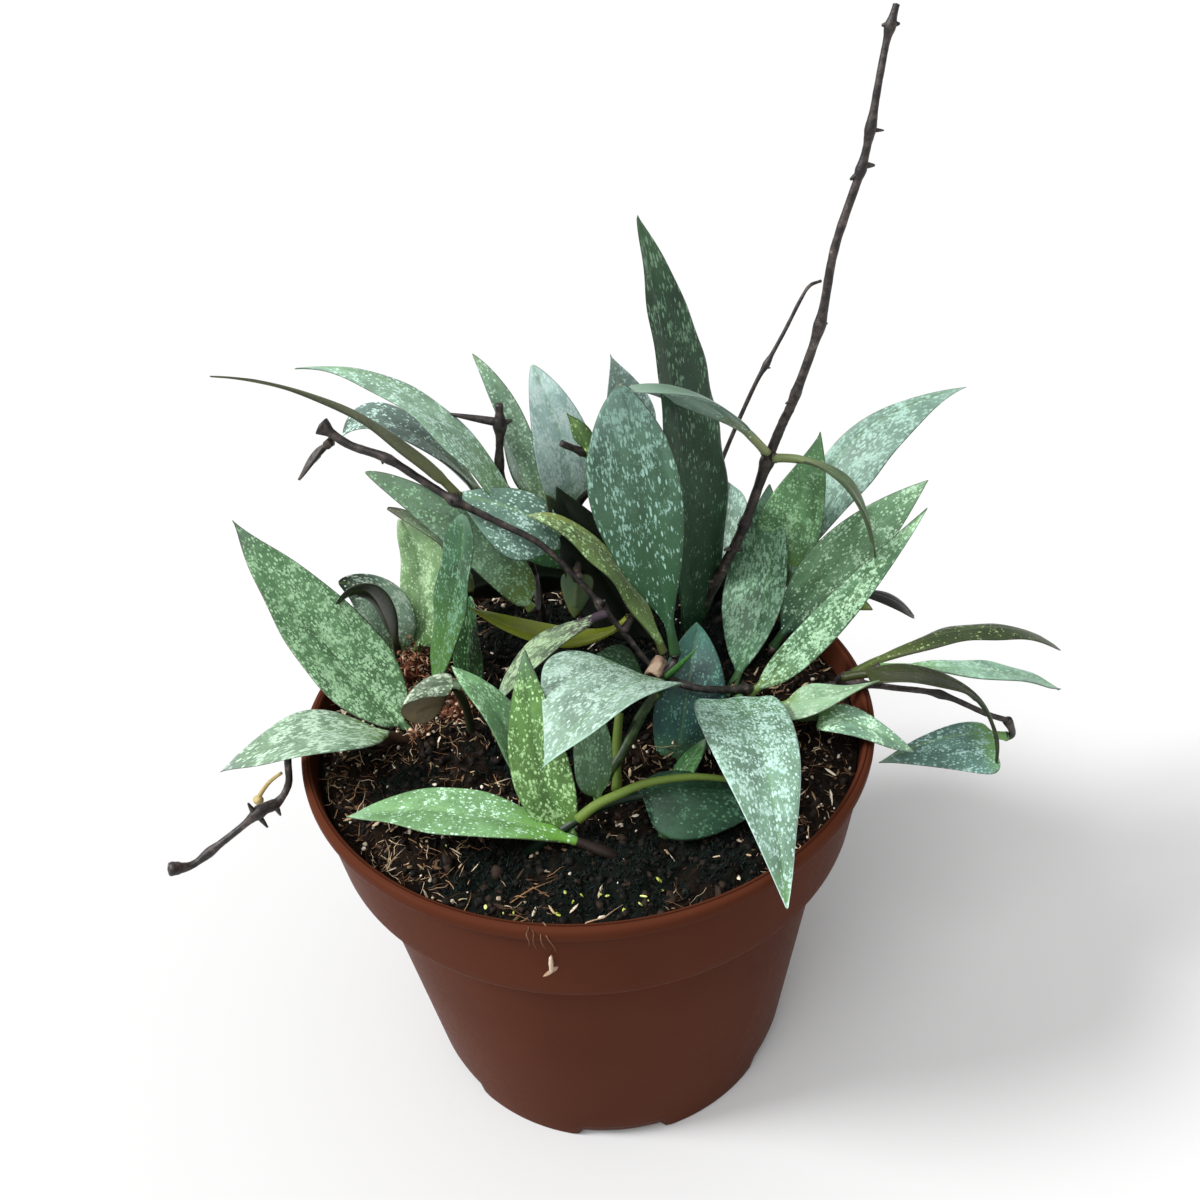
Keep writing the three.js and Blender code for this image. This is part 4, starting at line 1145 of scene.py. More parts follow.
@dataclass(frozen=True)
class Stem:
    """A woody shoot with swollen nodes, spurs, and the twigs that its leaves sit on.

    A node is its place in route points, its swelling and its length. A spur is
    its place, its direction, its length and its radius.
    """

    name: str
    radii: tuple[float, float]
    route: tuple[Vec, ...]
    nodes: tuple[tuple[float, float, float], ...] = ()
    spurs: tuple[tuple[float, Vec, float, float], ...] = ()
    fresh: bool = False

    STEPS = 14
    SIDES = 16
    SPUR_SIDES = 10
    TWIG_SIDES = 12
    TWIG_ROWS = 16
    TWIG_RADIUS = 0.75
    THIN_TWIG = 0.5  # the stalk radius that the twig of a leaf without a CAD node goes by

    def path(self) -> np.ndarray:
        """The stem's middle line, in mm."""
        return smooth_route(np.array(self.route, float), self.STEPS)

    def core(self) -> Solid:
        """The shoot itself.

        The radius goes evenly from root to end, plus a bell of the given height
        and length at each node, plus slight wrinkles.

        Returns:
            The shoot without its spurs and twigs.
        """
        path = self.path()
        place = np.arange(len(path)) / self.STEPS
        radius = np.interp(place, (0, place[-1]), self.radii)
        run = run_along(path)
        for at, swelling, length in self.nodes:
            gap = run - np.interp(at, place, run)
            radius = radius + swelling * np.exp(-((gap / length) ** 2))
        radius = radius * (1 + 0.02 * ripples(run[:, None], 4.0, 5) + 0.012 * ripples(run[:, None], 1.4, 6))
        return tube(path, radius, self.SIDES)

    def spur(self, at: float, heading: Vec, length: float, radius: float) -> Solid:
        """A short stub that leaves the stem and thins as 1 - 0.7 t^1.5.

        Args:
            at: where on the route, in route points.
            heading: its direction.
            length: mm.
            radius: mm at its foot.

        Returns:
            The stub.
        """
        path = self.path()
        start = path[min(int(round(at * self.STEPS)), len(path) - 1)]
        t = np.linspace(0, 1, 7)
        line = start + unit(np.array(heading)) * length * t[:, None]
        return tube(line, radius * (1 - 0.7 * t**1.5), self.SPUR_SIDES)

    def twig(self, leaf: Leaf) -> Solid:
        """A twig from the nearest point of the stem into the leaf's own direction.

        Its line is one quadratic bend, and its radius is least halfway, with a
        collar where it meets the stem and the leaf.

        Args:
            leaf: the leaf that sits on it.

        Returns:
            The twig.
        """
        root, bend = np.array(leaf.root, float), np.array(leaf.bend, float)
        heading = unit(bend - root)
        end = root + heading * 0.4
        path = self.path()
        start = path[np.argmin(np.linalg.norm(path - end, axis=1))]
        turn = end - heading * 0.5 * np.linalg.norm(end - start)
        t = np.linspace(0, 1, self.TWIG_ROWS)
        thick = Leaf.STALK_RADIUS if leaf.node else self.THIN_TWIG
        radius = self.TWIG_RADIUS * (thick / Leaf.STALK_RADIUS) * (
            1 + 0.45 * np.exp(-((t / 0.18) ** 2)) + 0.5 * np.exp(-(((1 - t) / 0.12) ** 2)))
        return tube(bent(start, turn, end, t), radius, self.TWIG_SIDES)

    def build(self, leaves: list[Leaf]) -> Solid:
        """The shoot, its spurs and its twigs together."""
        return Solid.joined([self.core(), *(self.spur(*s) for s in self.spurs), *(self.twig(x) for x in leaves)])

    def dress(self, leaves: list[Leaf], bark: bpy.types.Material) -> bpy.types.Object:
        """Builds the stem in its bark; it stands for its CAD node.

        Args:
            leaves: all the leaves, of which it takes its own.
            bark: its finish.

        Returns:
            The object.
        """
        made = self.build([x for x in leaves if x.on == self.name]).to_object(self.name, bark, Slot.BARK)
        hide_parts(self.name)
        return made


STEMS = [
    Stem("stem_tall", (1.3, 0.6), (
        (26, 21, 88.5), (26.5, 21, 97.5), (29.5, 20, 104.5), (33, 20, 112), (37, 20, 121.5), (41.5, 20, 136.5),
        (44.5, 21, 144), (46.5, 21, 149), (51.5, 23, 163.5), (54, 25, 177.5), (58.5, 27, 191), (60, 28, 198),
        (61, 29, 204.5), (62.5, 31, 211.5), (64, 32, 217)),
        nodes=((4.0, 0.3, 1.4), (4.95, 0.6, 1.8), (7.1, 0.2, 1.6), (8.0, 0.4, 2.0), (10.0, 0.3, 1.3),
               (11.0, 0.35, 1.8), (13.4, 0.45, 1.4)),
        spurs=((2.4, (-1, -0.5, 0.3), 2.4, 0.7), (3.4, (-1, -0.4, 0.2), 2.5, 0.7), (3.45, (0.9, -0.5, 0), 2.1, 0.7),
               (4.0, (-1, -0.3, 0.2), 1.8, 0.6), (7.0, (-1, -0.2, -0.3), 1.8, 0.45), (8.0, (1, 0, 0.1), 1.5, 0.7),
               (9.9, (-1, 0, -0.5), 1.9, 0.8), (10.05, (1, 0.1, -0.1), 2.4, 0.75), (10.95, (1, 0, -0.1), 2.5, 0.5),
               (13.4, (1, 0, 0), 1.6, 0.7), (13.4, (-1, 0, 0), 1.6, 0.7))),
    Stem("stem_tendril", (0.5, 0.32), (
        (29.5, 27, 123), (34, 27, 136), (39.5, 27, 149.5), (42.5, 28, 154.5), (46, 29, 160.5), (49, 30, 166),
        (51, 31, 168.5), (53.5, 32, 169)),
        nodes=((2.9, 0.35, 1.5),), spurs=((2.8, (1, 0, -0.2), 1.2, 0.4),)),
    Stem("stem_runner", (0.45, 0.9), (
        (38, 3, 90), (31, -1, 93.7), (22.4, -3, 96.9), (15, 2, 98.7), (10, 5, 105), (5, 6, 113), (0, 8, 119.5),
        (-6.5, 9, 127.5), (-14, 10, 132.5), (-22.5, 11, 138), (-29, 13, 142.5), (-35, 15, 146.5), (-42, 17, 149),
        (-47, 19, 152.5)),
        nodes=((0.0, 0.45, 22.0), (0.6, 0.5, 1.4), (2.2, 0.2, 1.6), (3.0, 0.3, 1.4), (5.0, 0.6, 1.6),
               (9.0, 0.6, 1.4), (11.0, 0.2, 2.0), (13.0, 1.0, 1.5)),
        spurs=((9.0, (-0.4, -0.8, 0.4), 2.0, 0.7), (9.0, (0.5, 0.2, 1), 1.8, 0.6), (5.0, (0.2, -0.6, 1), 3.2, 0.8),
               (11.1, (-0.3, 0, -1), 1.6, 0.6))),
    Stem("stem_right", (0.7, 0.6), (
        (46, -3, 89), (50, -3, 94), (58, -4, 94.5), (64.5, -6, 94.5), (74, -7, 92.5), (84, -8, 87), (89, -8, 84.5)),
        nodes=((2.0, 0.35, 1.8), (4.0, 0.35, 1.8))),
    Stem("stem_trailing", (0.75, 0.7), (
        (-45, -7, 89.5), (-52, -9, 95.5), (-60, -11, 96.5), (-61.5, -14, 90), (-64, -16, 87), (-67, -18, 87),
        (-71.5, -20, 84.5), (-77, -22, 81.5), (-81.5, -24, 79.5), (-85, -26, 81)),
        nodes=((4.3, 0.4, 1.6), (5.1, 0.7, 2.0), (7.2, 0.3, 2.4), (8.6, 0.5, 1.6), (9.0, 0.5, 1.4)),
        spurs=((4.2, (0.15, 0, -1), 3.2, 0.7), (5.2, (0.3, 0, -1), 4.2, 0.7), (5.3, (-0.2, 0, 1), 3.4, 0.7))),
    Stem("stem_back", (1.0, 0.8), (
        (-8, 32, 88.5), (-10, 31, 110), (-13, 27, 129.5), (-14, 27, 135.5), (-13, 27, 144.5), (-12.5, 27, 150.5)),
        nodes=((4.2, 0.7, 1.8), (3.2, 0.3, 1.4)),
        spurs=((4.2, (1, 0, 0.3), 2.8, 0.8), (4.3, (-1, 0, 0.28), 10.5, 0.95))),
    Stem("stem_back_stub", (0.9, 0.7), (
        (1, 35, 88.5), (1, 35, 118), (7, 27, 131), (5.4, 19, 140.7), (-0.6, 17, 145.6)),
        nodes=((3.4, 0.25, 1.0),)),
    Stem("stem_left", (1.0, 0.9), ((-26, 20, 88.5), (-26.5, 21, 96), (-25.5, 21.5, 102))),
    Stem("stem_right_back", (1.0, 0.8), ((49, 24, 88.5), (50, 24, 96), (51, 24, 102))),
    Stem("stem_front", (1.2, 0.95), ((2, -21, 89.5), (6.5, -18, 94.5), (11, -12, 98.5), (15, -8, 101)), fresh=True),
]


# ------------------------------------------------------------------ the pot


@dataclass(frozen=True)
class Pot:
    """The nursery pot: a tapered body, a step, a collar and a thick lip, moulded in one piece."""

    height: float = 93.0
    lip_radius: float = 60.0
    lip_height: float = 3.0
    collar_top: float = 58.8
    collar_foot: float = 56.5
    step_height: float = 70.0
    body_top: float = 52.4
    body_foot: float = 43.4
    wall: float = 1.2
    ring_width: float = 6.0
    recess: float = 3.0
    pad_radius: float = 9.0
    slots: int = 6
    slot_width: float = 20.0
    hole_circle: float = 26.0
    hole_radius: float = 4.0
    segments: int = 216
    spacing: float = 4.0

    CORNER_POINTS = 7
    HOLE_SIDES = 48
    DRILL = (-4.0, 8.0)  # from and to this height, mm

    def outline(self) -> np.ndarray:
        """The section from the axis below to the axis above, its corners rounded.

        Each corner is replaced by a quadratic bend that starts and ends the
        given distance from it, and long sides get points every few mm.

        Returns:
            (rows, 2) radii and heights.
        """
        inside = self.collar_top - self.wall + 0.35
        shelf = self.step_height + self.wall
        corners = np.array([
            (0, 0, 0), (self.pad_radius, 0, 0.6), (self.pad_radius + 1, self.recess, 0.5),
            (self.body_foot - self.ring_width - 1, self.recess, 0.5), (self.body_foot - self.ring_width, 0, 0.5),
            (self.body_foot, 0, 0.8), (self.body_top, self.step_height, 0.5),
            (self.collar_foot, self.step_height, 1.8), (self.collar_top, self.height - self.lip_height, 0.35),
            (self.lip_radius, self.height - self.lip_height, 0.8), (self.lip_radius, self.height, 1.3),
            (inside, self.height, 0.8), (self.collar_foot - self.wall, shelf, 0.6),
            (self.body_top - self.wall, shelf, 0.6), (self.body_foot - self.wall, self.recess + self.wall, 1.4),
            (0, self.recess + self.wall, 0),
        ])
        spot, soft = corners[1:-1, :2], corners[1:-1, 2:]
        before = spot + unit(corners[:-2, :2] - spot) * soft
        after = spot + unit(corners[2:, :2] - spot) * soft
        t = np.linspace(0, 1, self.CORNER_POINTS)[None, :, None]
        curves = (1 - t) ** 2 * before[:, None] + 2 * t * (1 - t) * spot[:, None] + t**2 * after[:, None]
        line = curves.reshape(-1, 2)
        run = run_along(line)
        between = np.arange(0, run[-1], self.spacing)
        between = between[np.abs(between[:, None] - run).min(1) > self.spacing / 4]
        places = np.union1d(run, between)
        return np.stack([np.interp(places, run, line[:, k]) for k in (0, 1)], -1)

    def build(self) -> Solid:
        """Turns the outline round the axis, and lifts the foot ring over each slot.

        The radius and height follow the outline; in a slot the height is at
        least the recess, with the lift eased over a degree at each side.

        Returns:
            The pot without its drain holes.
        """
        outline = self.outline()
        angle = np.linspace(0, 2 * np.pi, self.segments, endpoint=False)
        radius, height = outline[:, :1], outline[:, 1:]
        sector = 2 * np.pi / self.slots
        off = np.abs((angle + np.pi / 2 + sector / 2) % sector - sector / 2) * self.body_foot
        in_slot = 1 - ease(self.slot_width / 2 - 0.4, self.slot_width / 2 + 0.4, off)
        ring = (radius > self.body_foot - self.ring_width - 1.2) & (height < self.recess)
        lifted = np.where(ring, np.maximum(height, in_slot * self.recess), height + 0 * angle)
        rings = np.stack([radius * np.cos(angle), radius * np.sin(angle), lifted], -1)
        return Solid.skin(rings[None], np.zeros((1, 3)), np.array([[0, 0, self.recess + self.wall]]))

    def dress(self) -> bpy.types.Object:
        """Builds the pot, drills its drain holes and gives it its plastic.

        Returns:
            The object, which stands for the CAD's pot.
        """
        plastic = PotPlastic().material("moulded_polypropylene")
        made = self.build().to_object("pot_moulding", plastic, Slot.POT)
        around = -np.pi / 2 + np.arange(self.slots) * 2 * np.pi / self.slots
        middle = np.stack([np.cos(around), np.sin(around), 0 * around], -1) * self.hole_circle
        hole = np.pad(circle(self.HOLE_SIDES), ((0, 0), (0, 1))) * self.hole_radius
        rings = middle[:, None, None] + hole + np.array(self.DRILL)[:, None, None] * (0, 0, 1)
        below, above = (middle + (0, 0, height) for height in self.DRILL)
        drill = Solid.skin(rings, below, above).to_object("drill", plastic, Slot.POT)
        cut = made.modifiers.new("drain_holes", "BOOLEAN")
        cut.object, cut.operation, cut.solver = drill, "DIFFERENCE", "EXACT"
        drilled = bpy.data.meshes.new_from_object(made.evaluated_get(bpy.context.evaluated_depsgraph_get()))
        made.modifiers.clear()
        made.data = drilled
        drilled.name = "pot_moulding"
        bpy.data.objects.remove(drill)
        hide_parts("pot")
        return made


# ----------------------------------------------------------------- the soil


@dataclass(frozen=True)
class Soil:
    """The peat and coir that fills the pot, with what lies on it."""

    top: float = 88.0
    edge_radius: float = 56.9
    shelf_height: float = 71.5
    shelf_radius: float = 55.0
    body_top: float = 50.9
    body_foot: float = 41.9
    floor_height: float = 4.4
    rows: int = 150
    columns: int = 420

    # How many of each lie on it, before those that would lie in the moss are left out.
    CRUMBS = 5200
    PERLITE = 300
    COIR = 5200
    HUSKS = 1500
    THREADS = 14000
    # Fibres and grains in each standing clump.
    CLUMP_FIBRES = 320
    CLUMP_GRAINS = 150
    # The round in which most bits lie, a little inside the wall.
    REACH = 56.0
    COIR_REACH = 56.5
    # Dark patches, x, y, radius: the first five, at the front, are moss; the last five, in the middle and at the
    # back, are painted shade where the leaves shade the soil.
    MOSS_AND_SHADE = ((-37, -17, 6), (-20, -41, 9), (2, -44, 12), (22, -40, 9), (-6, -48, 7), (2, 12, 20), (22, 4, 13),
            (-12, 32, 14), (28, 30, 20), (-10, -8, 12))

    # The standing clumps: middle, reach along each axis, and seed.
    CLUMPS = (((-38.2, 18, 92), (3, 2.4, 5), 31), ((-28.6, 4.4, 90.5), (4, 3, 3), 32),
              ((-35.8, -3.8, 90), (1.6, 1.2, 2), 33))
    # Where the bits of leaf lie, in plan.
    LEAF_BITS = ((-18.4, -50.6), (-16, -52), (-7.7, -51.8), (-7, -50), (4.4, -50.9), (8, -51), (-21, -49),
                 (12, -49), (-29, -34), (-2, -47))

    def height(self, places: np.ndarray) -> np.ndarray:
        """The soil's height over points in plan.

        A flat top, higher at the left and left front, that falls a little near
        the wall, with lumps of 14, 5, 2.2 and 1.1 mm.

        Args:
            places: (..., 2) points in mm.

        Returns:
            Heights in mm.
        """
        x, y = places[..., 0], places[..., 1]
        radius = np.hypot(x, y)
        mound = 1.8 * np.exp(-((x + 42) ** 2 + (y + 8) ** 2) / 22**2) + 1.0 * np.exp(
            -((x + 20) ** 2 + (y - 10) ** 2) / 20**2)
        inner = ease(self.edge_radius, self.edge_radius - 6, radius)
        lumps = sum(size * ripples(places, wave, seed) for wave, size, seed in (
            (14, 0.5, 11), (5, 0.35, 12), (2.2, 0.22, 13), (1.1, 0.12, 14)))
        return self.top + mound + lumps * (0.4 + 0.6 * inner) - 1.2 * (1 - inner)

    def moss_and_shade(self, places: np.ndarray) -> np.ndarray:
        """How far each place lies in a patch of moss and painted shade, 0 to 1: soft discs with ragged edges.

        Args:
            places: (..., 2 or 3) points in mm.

        Returns:
            One share for each place.
        """
        ragged = 2.2 * ripples(places[..., :2], 5, 21) + 1.2 * ripples(places[..., :2], 2, 22)
        gaps = [np.hypot(places[..., 0] - x, places[..., 1] - y) - size for x, y, size in self.MOSS_AND_SHADE]
        return ease(3.0, -3.0, np.min(gaps, 0) + ragged)

    def body(self) -> Solid:
        """The whole filling: rings up the pot's inner wall, then in over the top.

        Returns:
            The filling, its points marked with how far they lie in the patches of moss and painted shade.
        """
        wall = np.array([
            (self.body_foot * 0.5, self.floor_height), (self.body_foot, self.floor_height),
            (self.body_top, self.shelf_height), (self.shelf_radius, self.shelf_height),
            (self.edge_radius, self.top - 3.5)])
        around = circle(self.columns)
        sides = np.concatenate([wall[:, None, :1] * around, wall[:, None, 1:] + 0 * around[:, :1]], -1)
        radius = self.edge_radius * (1 - np.linspace(0, 1, self.rows, endpoint=False) ** 1.05)[:, None, None]
        plan = radius * around
        cover = np.concatenate([plan, self.height(plan)[..., None]], -1)
        rings = np.concatenate([sides, cover])
        middle = np.array([[0, 0, float(self.height(np.zeros(2)))]])
        return Solid.skin(rings[None], np.array([[0, 0, self.floor_height]]), middle,
                          {"moss_and_shade": self.moss_and_shade(rings)[None] * 0.85})

    def spots(self, count: int, dice: np.random.Generator, reach: float = REACH) -> np.ndarray:
        """Random points on the soil, evenly spread over a disc.

        Args:
            count: how many.
            dice: the source of chance.
            reach: the disc's radius in mm.

        Returns:
            (count, 3) points.
        """
        radius, angle = reach * np.sqrt(dice.uniform(0, 1, count)), dice.uniform(0, 2 * np.pi, count)
        plan = np.stack([radius * np.cos(angle), radius * np.sin(angle)], -1)
        return np.concatenate([plan, self.height(plan)[:, None]], -1)

    def bare(self, spots: np.ndarray, dice: np.random.Generator) -> np.ndarray:
        """Those of the spots that stay clear of the patches of moss and painted shade, with one in seven of the
        others.
        """
        return spots[dice.uniform(0, 1, len(spots)) > 0.85 * self.moss_and_shade(spots)]

    def crumbs(self) -> Solid:
        """Peat crumbs, 0.4 to 2.2 mm, half sunk, most of them small.

        Real ones go down to dust; these are the coarse end, so that they show.

        Returns:
            The crumbs as one solid.
        """
        dice = np.random.default_rng(SEED)
        count = self.CRUMBS
        sizes = (0.2 + 0.9 * dice.uniform(0, 1, (count, 1)) ** 3) * dice.uniform(0.45, 1.3, (count, 3))
        spots, spins = self.spots(count, dice), turns(count, dice)
        return lump(unevenness=0.4).scattered(spots, spins, sizes, dice.uniform(0, 1, count))

    def perlite(self) -> Solid:
        """Pale grains, 0.3 to 1.3 mm.

        Returns:
            The grains as one solid.
        """
        dice = np.random.default_rng(SEED + 1)
        spots = self.bare(self.spots(self.PERLITE, dice), dice)
        count = len(spots)
        sizes = dice.uniform(0.18, 0.55, (count, 1)) * dice.uniform(0.5, 1.2, (count, 3))
        spins = turns(count, dice)
        return lump(5, 8).scattered(spots + (0, 0, 0.3), spins, sizes, dice.uniform(0, 1, count))

    def coir(self) -> Solid:
        """Coir fibres, 1 to 7 mm, mostly lying down; as painted light they are thickest at the left and along the
        wall, where light falls on the soil, and thin out in the shade.

        They are 0.12 to 0.3 mm thick, drawn coarser than most real ones so that they show.

        Returns:
            The fibres as one solid.
        """
        dice = np.random.default_rng(SEED + 2)
        spots = self.spots(self.COIR, dice, self.COIR_REACH)
        # Painted light: pale fibres are kept where light falls and dropped where the leaves shade the soil.
        lit = ease(20, -40, spots[:, 0]) * 0.7 + 0.3 * ease(40, 55, np.hypot(spots[:, 0], spots[:, 1]))
        keep = dice.uniform(0, 1, len(spots)) < 0.3 + 0.7 * lit - 0.9 * self.moss_and_shade(spots)
        spots = spots[keep]
        count = len(spots)
        azimuth, climb = dice.uniform(0, 2 * np.pi, count), dice.normal(0.08, 0.22, count)
        headings = np.stack([np.cos(azimuth), np.sin(azimuth), climb], -1)
        lengths = dice.uniform(1.0, 4.5, count) * dice.uniform(0.7, 1.6, count)
        curl = dice.normal(0, 0.3, (count, 3)) * lengths[:, None] * (1, 1, 0.3)
        crosses = np.hypot(*(spots[:, :2] + headings[:, :2] * lengths[:, None]).T) > self.edge_radius + 0.1
        headings[crosses, :2] *= -1
        return hairs(spots + (0, 0, 0.25), headings, lengths, dice.uniform(0.06, 0.15, count), curl,
                     dice.uniform(0, 1, count))

    def husks(self) -> Solid:
        """Flat slivers of coir husk, 1 to 4 mm long, tan to pale.

        Returns:
            The slivers as one solid.
        """
        dice = np.random.default_rng(SEED + 3)
        spots = self.bare(self.spots(self.HUSKS, dice), dice)
        count = len(spots)
        sizes = np.stack([dice.uniform(0.5, 1.9, count), dice.uniform(0.15, 0.45, count),
                          dice.uniform(0.06, 0.16, count)], -1)
        return lump(3, 6, 0.2).scattered(spots + (0, 0, 0.35), turns(count, dice, 0.35), sizes,
                                         dice.uniform(0, 1, count) ** 1.6)

    def tufts(self) -> Solid:
        """Short dark moss threads, 0.6 to 1.7 mm, on the patches of moss and painted shade, thicker than real so
        that they show; those on the shade patches are painted shade.

        Returns:
            The threads as one solid.
        """
        dice = np.random.default_rng(SEED + 4)
        spots = self.spots(self.THREADS, dice)
        spots = spots[dice.uniform(0.2, 1, len(spots)) < self.moss_and_shade(spots)]
        count = len(spots)
        headings = np.concatenate([dice.normal(0, 0.5, (count, 2)), np.ones((count, 1))], -1)
        return hairs(spots, headings, dice.uniform(0.6, 1.7, count), dice.uniform(0.12, 0.2, count),
                     dice.normal(0, 0.4, (count, 3)), dice.uniform(0, 1, count), rows=3)

    def sprigs(self) -> Solid:
        """Yellow-green bits of leaf near the front, 1 to 2 mm, two by two round the places in the photo.

        Returns:
            The bits as one solid.
        """
        dice = np.random.default_rng(SEED + 5)
        middle = np.array(self.LEAF_BITS)
        plan = np.repeat(middle, 2, 0) + dice.normal(0, 1.8, (len(middle) * 2, 2))
        plan = plan * np.minimum(1, 55.5 / np.hypot(*plan.T))[:, None]
        places = np.concatenate([plan, self.height(plan)[:, None] + 0.6], -1)
        count = len(places)
        sizes = np.stack([dice.uniform(0.3, 0.8, count), dice.uniform(0.2, 0.4, count),
                          dice.uniform(0.12, 0.25, count)], -1)
        return lump(4, 7, 0.15).scattered(places, turns(count, dice, 0.7), sizes, dice.uniform(0, 1, count))

    def clump(self, middle: Vec, spread: Vec, seed: int) -> Solid:
        """A standing tangle of reddish fibres round a lumpy core, with grains in it.

        Args:
            middle: its centre, mm.
            spread: its reach along each axis, mm.
            seed: picks its fibres and grains.

        Returns:
            The clump.
        """
        dice = np.random.default_rng(seed)
        count, bits = self.CLUMP_FIBRES, self.CLUMP_GRAINS
        places = np.array(middle) + dice.normal(0, 0.45, (count, 3)) * spread
        lengths = dice.uniform(0.8, 2.6, count)
        fibres = hairs(places, dice.normal(0, 1, (count, 3)) + (0, 0, 0.3), lengths, dice.uniform(0.1, 0.22, count),
                       dice.normal(0, 0.8, (count, 3)), dice.uniform(0, 1, count))
        grains = lump(4, 6).scattered(np.array(middle) + dice.normal(0, 0.5, (bits, 3)) * spread,
                                      turns(bits, dice), dice.uniform(0.2, 0.75, (bits, 3)),
                                      dice.uniform(0, 1, bits) ** 1.5)
        core = lump(9, 14, 0.14, seed).scattered(np.array([middle]), turns(1, dice, 0), np.array([spread]) * 0.8,
                                                 np.array([0.22]))
        return Solid.joined([core, fibres, grains])

    def dress(self) -> None:
        """Builds the filling and everything on it."""
        made = self.body().to_object("soil_filling", Peat().material("peat_and_coir"), Slot.SOIL)
        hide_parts("soil")
        clumps = Solid.joined([self.clump(*clump) for clump in self.CLUMPS])
        litter = {
            # Damp peat: near-black and dull.
            "peat_crumbs": (self.crumbs(), Litter(("080605", "120d09", "2c2017"))),
            # Expanded volcanic glass, stained by the peat: off-white and dull.
            "perlite_grains": (self.perlite(), Litter(("9a8f7c", "cfc5b4", "e9e2d4"))),
            # Coconut fibre: dark brown where wet, straw where dry.
            "coir_fibres": (self.coir(), Litter(("24160e", "523422", "94704e", "dcc8a8"))),
            # Coconut husk: brown skin and pale pith.
            "husk_slivers": (self.husks(), Litter(("1e140d", "5c4430", "b89e7c", "f0e6d2"))),
            # Wet moss, near-black green; the threads on the painted shade patches are painted shade.
            "moss_and_shade_threads": (self.tufts(), Litter(("040807", "0a1410", "15281f"))),
            # Torn fresh leaf: yellow-green, with a little gloss.
            "leaf_bits": (self.sprigs(), Litter(("6f8a2c", "b4bf52", "d6dc8c"), 0.5)),
            # Old coir matted round the stems: rust red to straw.
            "fibre_clump": (clumps, Litter(("2a140c", "6a3a26", "a87a5a", "e8d4b8"))),
        }
        for name, (solid, finish_of_it) in litter.items():
            solid.to_object(name, finish_of_it.material(name + "_dry"), Slot.SOIL)


# ------------------------------------------------------------------- extras


